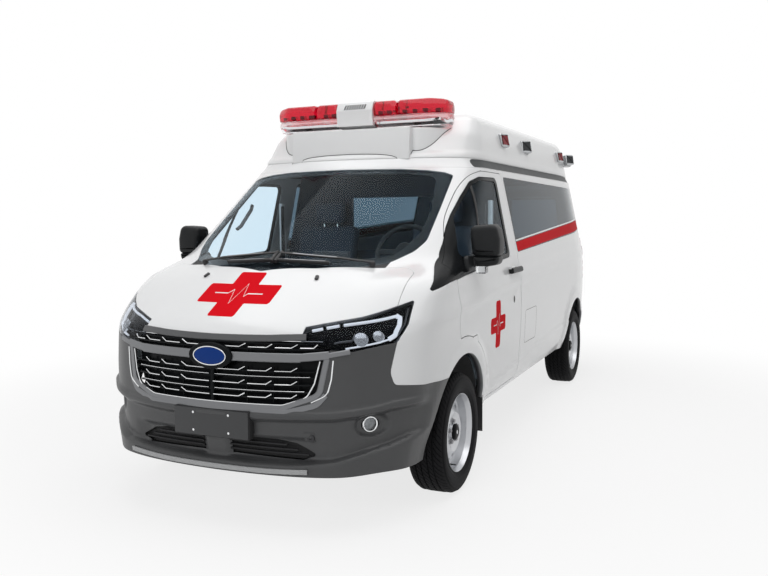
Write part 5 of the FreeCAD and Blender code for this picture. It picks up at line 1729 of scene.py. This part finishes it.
for word, body, s, start in GRIPS:
    grip, cap = Gather(), Gather()
    side_rail(start, start + .245, HANDLE_Z, s, .018, .038, .018, grip, bevel=.45)
    for y in (start + .006, start + .215):
        side_rail(y, y + .024, HANDLE_Z, s, -.001, .032, .026, grip)
    side_rail(start - .004, start + .080, HANDLE_Z + .022, s, .002, .016, .026, cap, bevel=.45)
    dish = oblong(start + .030, start + .215, HANDLE_Z - .020, HANDLE_Z + .020, .014, 5)
    film(f"handle_dish_{word}", sided(s, seen(on_left, dish)), body, GLOSS, "black")
    dress(grip.build(f"handle_{word}"), body, [BLACK_PLASTIC], slot="black")
    dress(cap.build(f"handle_cap_{word}"), body, [WHITE], slot="white")
    oval = [(start + .104 + a, .990 + b) for a, b in ellipse(.016, .024, 24)]
    film(f"lock_{word}", sided(s, seen(on_left, oval)), body, GLOSS, "black", height=.0014)
flap = seen(on_left, [(1.400, .640, .03), (1.400, .880, .03), (1.740, .880, .03), (1.740, .640, .03)])
film("fuel_flap_line", [flap, drawn_in(flap, .0035)], "body", MATT, "black", height=.0002)
print("small outside pieces done")

# %% [markdown]
# ## Tail
# The tail lamps stand at the corners and wrap round to the side. Each is a red cover over a
# pale housing with two clear fields. The step bumper below is the same rough plastic as the
# front one.

# %% Tail lamps
for word, s in SIDES:
    area = sided(s, TAIL_LAMP)
    fitted(f"tail_lamp_housing_{word}", area, "body", [ALLOY, MATT], slot="trim", depth=.003, step=.04,
           lift=sunk(.022))
    fitted(f"tail_lamp_cover_{word}", area, "body", [RED_LENS, RED_LENS],
           *(["tail_lamps"] if s > 0 else []), slot="red_lens", depth=.004, step=.03,
           lift=lambda uv, p: .001 + .002 * np.sin((uv[:, 1] - .90) / .43 * math.pi * 6) ** 2)
    fields = Gather()
    for z in (1.035, 1.125):
        points = sided(s, [from_behind(.800, z), from_behind(.850, z)])[0]
        laid(fields, on_skin(divided(points, .01, closed=False), -.006), .060, .004)
    dress(fields.build(f"tail_lamp_clear_fields_{word}"), "body", [LENS], slot="lamp")

# %% Step bumper
tail_step = both_sides(STEP)


def step_lift(uv, place):
    """A ledge pressed in near the top, and a foot that draws in."""
    z = place[:, 2]
    behind_it = np.clip((place[:, 1] - (REAR + .78)) / .10, 0, 1)
    ledge = np.clip((z - .500) / .004, 0, 1) * np.clip((.548 - z) / .004, 0, 1)
    return -.001 - .004 * ledge * behind_it - .006 * np.clip((.375 - z) / .03, 0, 1)


skin = panel("rear_bumper_skin", tail_step, within(*tail_step), depth=.006, step=.016, lift=step_lift)
dress(skin, "body", [CHARCOAL, MATT], "rear_bumper", slot="charcoal")
reflectors = Gather()
for s in (1, -1):
    points = divided([from_behind(s * x, .440) for x in (.60, .72)], .02, closed=False)
    laid(reflectors, on_skin(points), .030, .0035)
dress(reflectors.build("rear_reflectors"), "body", [RED_LENS], slot="red_lens")


# %% Rear door hinges, handle and blank plate
def tail_rings(outline, depth, bevel, lift=0.0):
    """Slab that stands on the tail; the outline is seen from behind as (x, z)."""
    def place(a, b, c):
        spot, out = on_skin([from_behind(a, b)])
        return tuple((spot + out * (lift + depth - c))[0])
    return slab(divided(outline, .03), depth, bevel, place)


HINGE_PIN = [(.002, 0), (.0085, .001), (.0085, .069), (.002, .070)]
for word, s in SIDES:
    straps = Gather()
    for z in (.705, 1.155):
        strap = [(s * .632, z, .008), (s * .745, z, .004), (s * .745, z + .060, .004),
                 (s * .632, z + .060, .008)]
        straps.add(tail_rings(rounded(strap, 4), .010, .003))
        straps.add(spun(HINGE_PIN, (s * .762, 2.662, z - .005), "z", 20))
    dress(straps.build(f"rear_hinges_{word}"), f"door_rear_{word}", [IRON], slot="black")
pull, plate = Gather(), Gather()
pull.add(tail_rings(oblong(-.150, -.030, 1.030, 1.075, .012, 4), .006, .002))
pull.add(tail_rings(oblong(-.140, -.040, 1.044, 1.062, .006, 4), .010, .003, .005))
dress(pull.build("rear_door_handle"), "door_rear_right", [GLOSS], slot="black")
plate.add(tail_rings(oblong(.110, .550, .720, .860, .010, 4), .004, .001))
dress(plate.build("rear_blank_plate"), "door_rear_left", [PLATE], slot="charcoal")
print("tail done")

# %% [markdown]
# ## Wheels
# A van tyre has ribs parted by grooves round it, and the shoulder ribs are cut into blocks.
# One ring of the profile is spun round the axle, and its radius drops in the narrow gaps
# between the blocks, so the whole tread is one closed mesh with no boolean. The pressed
# steel rim of the frame already has the true shape and keeps it, with new paint, bolts,
# valve and cap.

# %% Tyre profile
PITCHES = 62
GROOVE_DEEP = .0075
DEEP_CUT, FINE_CUT = .0065, .0030
RIBS = ((-.0950, -.0560, DEEP_CUT), (-.0480, -.0230, FINE_CUT), (-.0160, .0160, FINE_CUT),
        (.0230, .0480, FINE_CUT), (.0560, .0950, DEEP_CUT))     # (from, to, depth of the cross cut)
tread = []                                      # (across, radius, depth of the cross cut)
for a, b, cut in RIBS:
    crown_a, crown_b = (.338 - .9 * max(0, abs(v) - .030) ** 2 * 3.2 for v in (a, b))
    tread += [(a, crown_a - GROOVE_DEEP, 0), (a + .0008, crown_a, cut),
              ((a + b) / 2, max(crown_a, crown_b), cut),
              (b - .0008, crown_b, cut), (b, crown_b - GROOVE_DEEP, 0)]
tread[0], tread[-1] = (-.0985, .3195, .004), (.0985, .3195, .004)
wall = [(across, radius, 0) for across, radius in (
    (.1040, .3080), (.1062, .3020), (.1050, .2990), (.1070, .2940), (.1075, .2800), (.1075, .2620),
    (.1060, .2560), (.1064, .2520), (.1020, .2440), (.0960, .2320), (.0900, .2215))]
PROFILE_ROUND = [(-a, r, c) for a, r, c in wall[::-1]] + tread + wall
PITCH = 2 * math.pi / PITCHES
TURNS = np.array([k * PITCH + PITCH * f for k in range(PITCHES) for f in (0, .80, .84, .96)])
IN_CUT = np.tile([0, 0, 1, 1], PITCHES)


def tyre(name, centre, s):
    """Tyre about the x axis, closed on its inner side; s is the side of the vehicle."""
    rings = []
    for across, radius, cut in PROFILE_ROUND:
        turn = TURNS + (across * 4.0 if cut else 0) * s + (.5 * PITCH if cut == FINE_CUT else 0)
        reach = radius - cut * IN_CUT
        ring = [np.full(len(turn), across * s), reach * np.cos(turn), reach * np.sin(turn)]
        rings.append(np.stack(ring, 1) + centre)
    inward = np.array([.006 * s, 0, 0])
    rings = [rings[0] + inward] + rings + [rings[-1] - inward]
    return Gather().add(rings + [rings[0]], closed_ends=False).build(name, sharp=28)


# %% Four wheels
BOLT_COUNT, BOLT_RING, HUB_FACE = 5, .0625, .050
WASHER = [(.0150, .000), (.0150, .003), (.0120, .004)]
BOLT = [(.0105, .003), (.0105, .014), (.0080, .0165), (.0010, .0168)]
HUB_CAP = [(.0455, -.004), (.0455, .006), (.0430, .010), (.0360, .014), (.0240, .0163), (.0225, .0150),
           (.0010, .0152)]
VALVE = [(.0045, -.030), (.0055, -.010), (.0042, .000), (.0042, .018), (.0036, .020), (.0010, .0202)]
for end, y in (("front", FRONT), ("rear", REAR)):
    for word, s in SIDES:
        body = f"wheel_{end}_{word}"
        centre = np.array([s * TRACK_HALF, y, AXLE_Z])
        dress(tyre(f"tread_{end}_{word}", centre, s), body, [TYRE], f"tyre_{end}_{word}", slot="tyre")
        bolts = Gather()
        for k in range(BOLT_COUNT):
            turn = 2 * math.pi * (k + .25) / BOLT_COUNT
            spot = centre + np.array([s * HUB_FACE, BOLT_RING * math.cos(turn), BOLT_RING * math.sin(turn)])
            bolts.add(spun(WASHER, spot, "x", 24, s))
            bolts.add(spun(BOLT, spot, "x", 6, s))
        cap = Gather().add(spun(HUB_CAP, centre + np.array([s * .064, 0, 0]), "x", 40, s))
        valve = Gather().add(spun(VALVE, centre + np.array([s * HUB_FACE, 0, -.192]), "x", 14, s))
        dress(bolts.build(f"wheel_bolts_{end}_{word}"), body, [ALLOY], slot="wheel")
        dress(cap.build(f"hub_cap_{end}_{word}"), body, [GLOSS], slot="black")
        dress(valve.build(f"valve_{end}_{word}"), body, [RUBBER], slot="black")
print("one tyre has", len(bpy.data.meshes["tread_front_left"].polygons), "faces")


# %% New paint for frame pieces that keep their shape
def paint(look, *nodes):
    """Give frame nodes a finish without touching their shape."""
    for node in nodes:
        for slot in bpy.data.objects[node].material_slots:
            slot.material = look


guard = Gather()
guard_y = FRONT + ARCH_R
for side in (1, -1):        # a splash guard closes the view under the floor behind each front wheel
    guard.add(side_box(side, .60, .962, guard_y - .014, guard_y - .008, .235, .520, .002))
dress(guard.build("front_splash_guards"), "body", [RUBBER], slot="black")
paint(STEEL, *(f"rim_{end}_{word}" for end in ("front", "rear") for word, _ in SIDES))
paint(MATT, "wheel_liners", "firewall", "radiator")
paint(RUBBER, "mud_flaps")
paint(IRON, "chassis_frame", "rear_axle", "leaf_springs", "knuckle_left", "knuckle_right", "fuel_tank",
      "spare_wheel")
paint(ALLOY, "engine_block", "exhaust")
paint(DASH, "dashboard")
paint(BLACK_PLASTIC, "steering_wheel")
# The partition's near-black blue is painted shade: it stands in for the shade inside the van as seen through
# the glass.
paint(finish("bulkhead_painted_shade", (.018, .028, .042), .60), "partition")
paint(GREY_LINING, "cabinet")
paint(FLOORING, "floor_pan")
print("frame pieces painted")

# %% [markdown]
# ## Cushions
# A seat cushion is foam under cloth. It swells in the middle of each face, draws in along
# its seams and has soft edges. The form starts as a cube divided into a fine net; each point
# is pushed to a rounded box, then swollen and pinched by simple curves.


# %% Cushion maker
def cube_net(count):
    """Points and quads of a divided cube from -1 to 1, not yet joined at its edges."""
    t = np.linspace(-1, 1, count + 1)
    points, quads = [], []
    for axis in range(3):
        for end in (-1, 1):
            first = len(points)
            for a in t:
                for b in t:
                    p = [0, 0, 0]
                    p[axis], p[(axis + 1) % 3], p[(axis + 2) % 3] = end, a, b
                    points.append(p)
            for i in range(count):
                for j in range(count):
                    q = first + i * (count + 1) + j
                    quad = (q, q + count + 1, q + count + 2, q + 1)
                    quads.append(quad if end > 0 else quad[::-1])
    return np.array(points, float), quads


EDGE_RADIUS, PINCH, SEAM_DEEP = .035, .03, .010


def cushion(name, centre, size, look, *nodes, crown=.018, tilt=0.0, seams=(), slot="seat", fill=.8,
            count=22):
    """Crowned cushion; size is (x, y, z), tilt turns it about the x axis, seams run along y."""
    points, quads = cube_net(count)
    half = np.array(size) / 2
    full = points * half
    core = np.clip(full, -(half - EDGE_RADIUS), half - EDGE_RADIUS)
    away = full - core
    length = np.linalg.norm(away, axis=1, keepdims=True)
    place = core + away / np.maximum(length, 1e-9) * np.minimum(length, EDGE_RADIUS)
    x, y, z = points.T
    side = np.where(z > 0, 1.0, .15)               # nearly flat below
    place[:, 2] += crown * ((1 - x ** 2) * (1 - y ** 2)) * z * side
    place[:, 0] *= 1 - PINCH * (1 - y ** 2) * (1 - abs(z) * .4)
    place[:, 1] *= 1 - PINCH * (1 - x ** 2) * (1 - abs(z) * .4)
    for seam in seams:
        place[:, 2] -= np.clip(z, 0, 1) * SEAM_DEEP * bell(abs(x - seam), .045)
    welt = bell(z - .55, .07) * np.clip(np.maximum(abs(x), abs(y)) - .9, 0, .1) * 10
    place[:, :2] *= (1 - .012 * welt)[:, None]
    c, s = math.cos(tilt), math.sin(tilt)
    x, y, z = place.T
    turned = np.stack([x, c * y - s * z, s * y + c * z], 1)
    obj = mended(new_object(name, turned + np.array(centre), quads), join=1e-5)
    dress(obj, "body", [look], *nodes, slot=slot)
    return obj


# %% Cab seats
HEAD_REST_POST = [(.005, 0), (.006, .002), (.006, .110), (.005, .112)]
posts = Gather()
sewn = (-.55, .55)
for word, s in SIDES:
    x = s * .460
    cushion(f"seat_pad_{word}", (x, FRONT + .780, .845), (.500, .500, .110), SEAT,
            *(["seats"] if s > 0 else []), tilt=.03, seams=sewn)
    cushion(f"seat_back_{word}", (x, FRONT + 1.118, 1.180), (.470, .620, .110), SEAT, crown=.020, tilt=1.39,
            seams=sewn)
    cushion(f"head_rest_{word}", (x, FRONT + 1.190, 1.590), (.250, .170, .085), SEAT, crown=.014, tilt=1.50,
            fill=.9, count=14)
    posts.add(boxed(x - .225, x + .225, FRONT + .565, FRONT + 1.015, .562, .785, .020), 1)
    for dx in (-.055, .055):
        posts.add(spun(HEAD_REST_POST, (x + dx, FRONT + 1.190, 1.430), "z", 12))
dress(posts.build("seat_posts_and_bases"), "body", [CHROME, DASH], slot="trim")

# %% Bench and stretcher
cushion("bench_pad", (-.640, REAR + .050, .865), (.320, 1.600, .110), VINYL, "bench", crown=.012,
        slot="vinyl", count=30)
benches = Gather().add(boxed(-.800, -.500, REAR - .755, REAR - .480, .562, .815, .012))
dress(benches.build("bench_base"), "body", [PRIMER], slot="lining")
bed_y = REAR - 1.150
cushion("stretcher_mattress", (0, bed_y + .700, .905), (.550, 1.380, .085), VINYL, "stretcher", crown=.012,
        slot="vinyl", count=30)
cushion("stretcher_head_pad", (0, bed_y + 1.655, 1.035), (.550, .600, .085), VINYL, crown=.012, tilt=.41,
        slot="vinyl")
CASTOR = [(.010, -.014), (.038, -.014), (.040, -.008), (.040, .008), (.038, .014), (.010, .014)]
cot = Gather()
for x in (-.235, .235):
    cot.add(boxed(x - .014, x + .014, bed_y + .060, bed_y + 1.900, .822, .850, .008))
    for y in (bed_y + .16, bed_y + 1.74):
        cot.add(boxed(x - .018, x + .018, y - .018, y + .018, .600, .830, .006))
        cot.add(spun(CASTOR, (x, y, .602), "x", 28))
for y in (.07, .98, 1.88):
    cot.add(boxed(-.240, .240, bed_y + y, bed_y + y + .026, .824, .848, .008))
dress(cot.build("stretcher_frame"), "body", [ALLOY], slot="steel")

# %% Cab details that show through the glass
cab_black, cab_grey, cab_pale = Gather(), Gather(), Gather()
for s in (1, -1):
    cab_grey.add(side_box(s, .805, .835, FRONT + 1.06, FRONT + 1.10, .70, 1.66, .006))
    belt = [(FRONT + 1.050, 1.640), (FRONT + 1.045, 1.300), (FRONT + 1.040, .900)]
    points = [(s * .797, y, z) for y, z in divided(belt, .08, closed=False)]
    cab_black.add(rail(points, [(-s, 0, 0)] * len(points), box_section(.046, .003)))
handle = [(-.700, FRONT + .30, 1.480), (-.690, FRONT + .33, 1.500), (-.690, FRONT + .46, 1.610),
          (-.700, FRONT + .49, 1.640)]
cab_black.add(rail(handle, [(1, 0, 0)] * len(handle), ellipse(.012, .012, 8)))
hood = [(x, FRONT + .300 + .03 * math.cos((x - .44) * 6), 1.226 + .035 * math.cos((x - .44) * 6.5))
        for x in np.linspace(.22, .66, 15)]
cab_black.add(rail(hood, [(0, 0, 1)] * len(hood), box_section(.150, .014)))
cab_black.add(boxed(-.130, .130, FRONT + .300, FRONT + .318, 1.190, 1.340, .006))
dash_line = [(x, FRONT + .06, 1.238) for x in np.linspace(-.70, .70, 20)]
cab_pale.add(rail(dash_line, [(0, 0, 1)] * len(dash_line), box_section(.012, .003)))
dress(cab_black.build("cab_black_parts"), "body", [DASH], slot="trim")
dress(cab_grey.build("cab_pillar_linings"), "body", [GREY_LINING], slot="lining")
dress(cab_pale.build("dash_top_line"), "body", [GREY_LINING], slot="lining")
print("inside done")
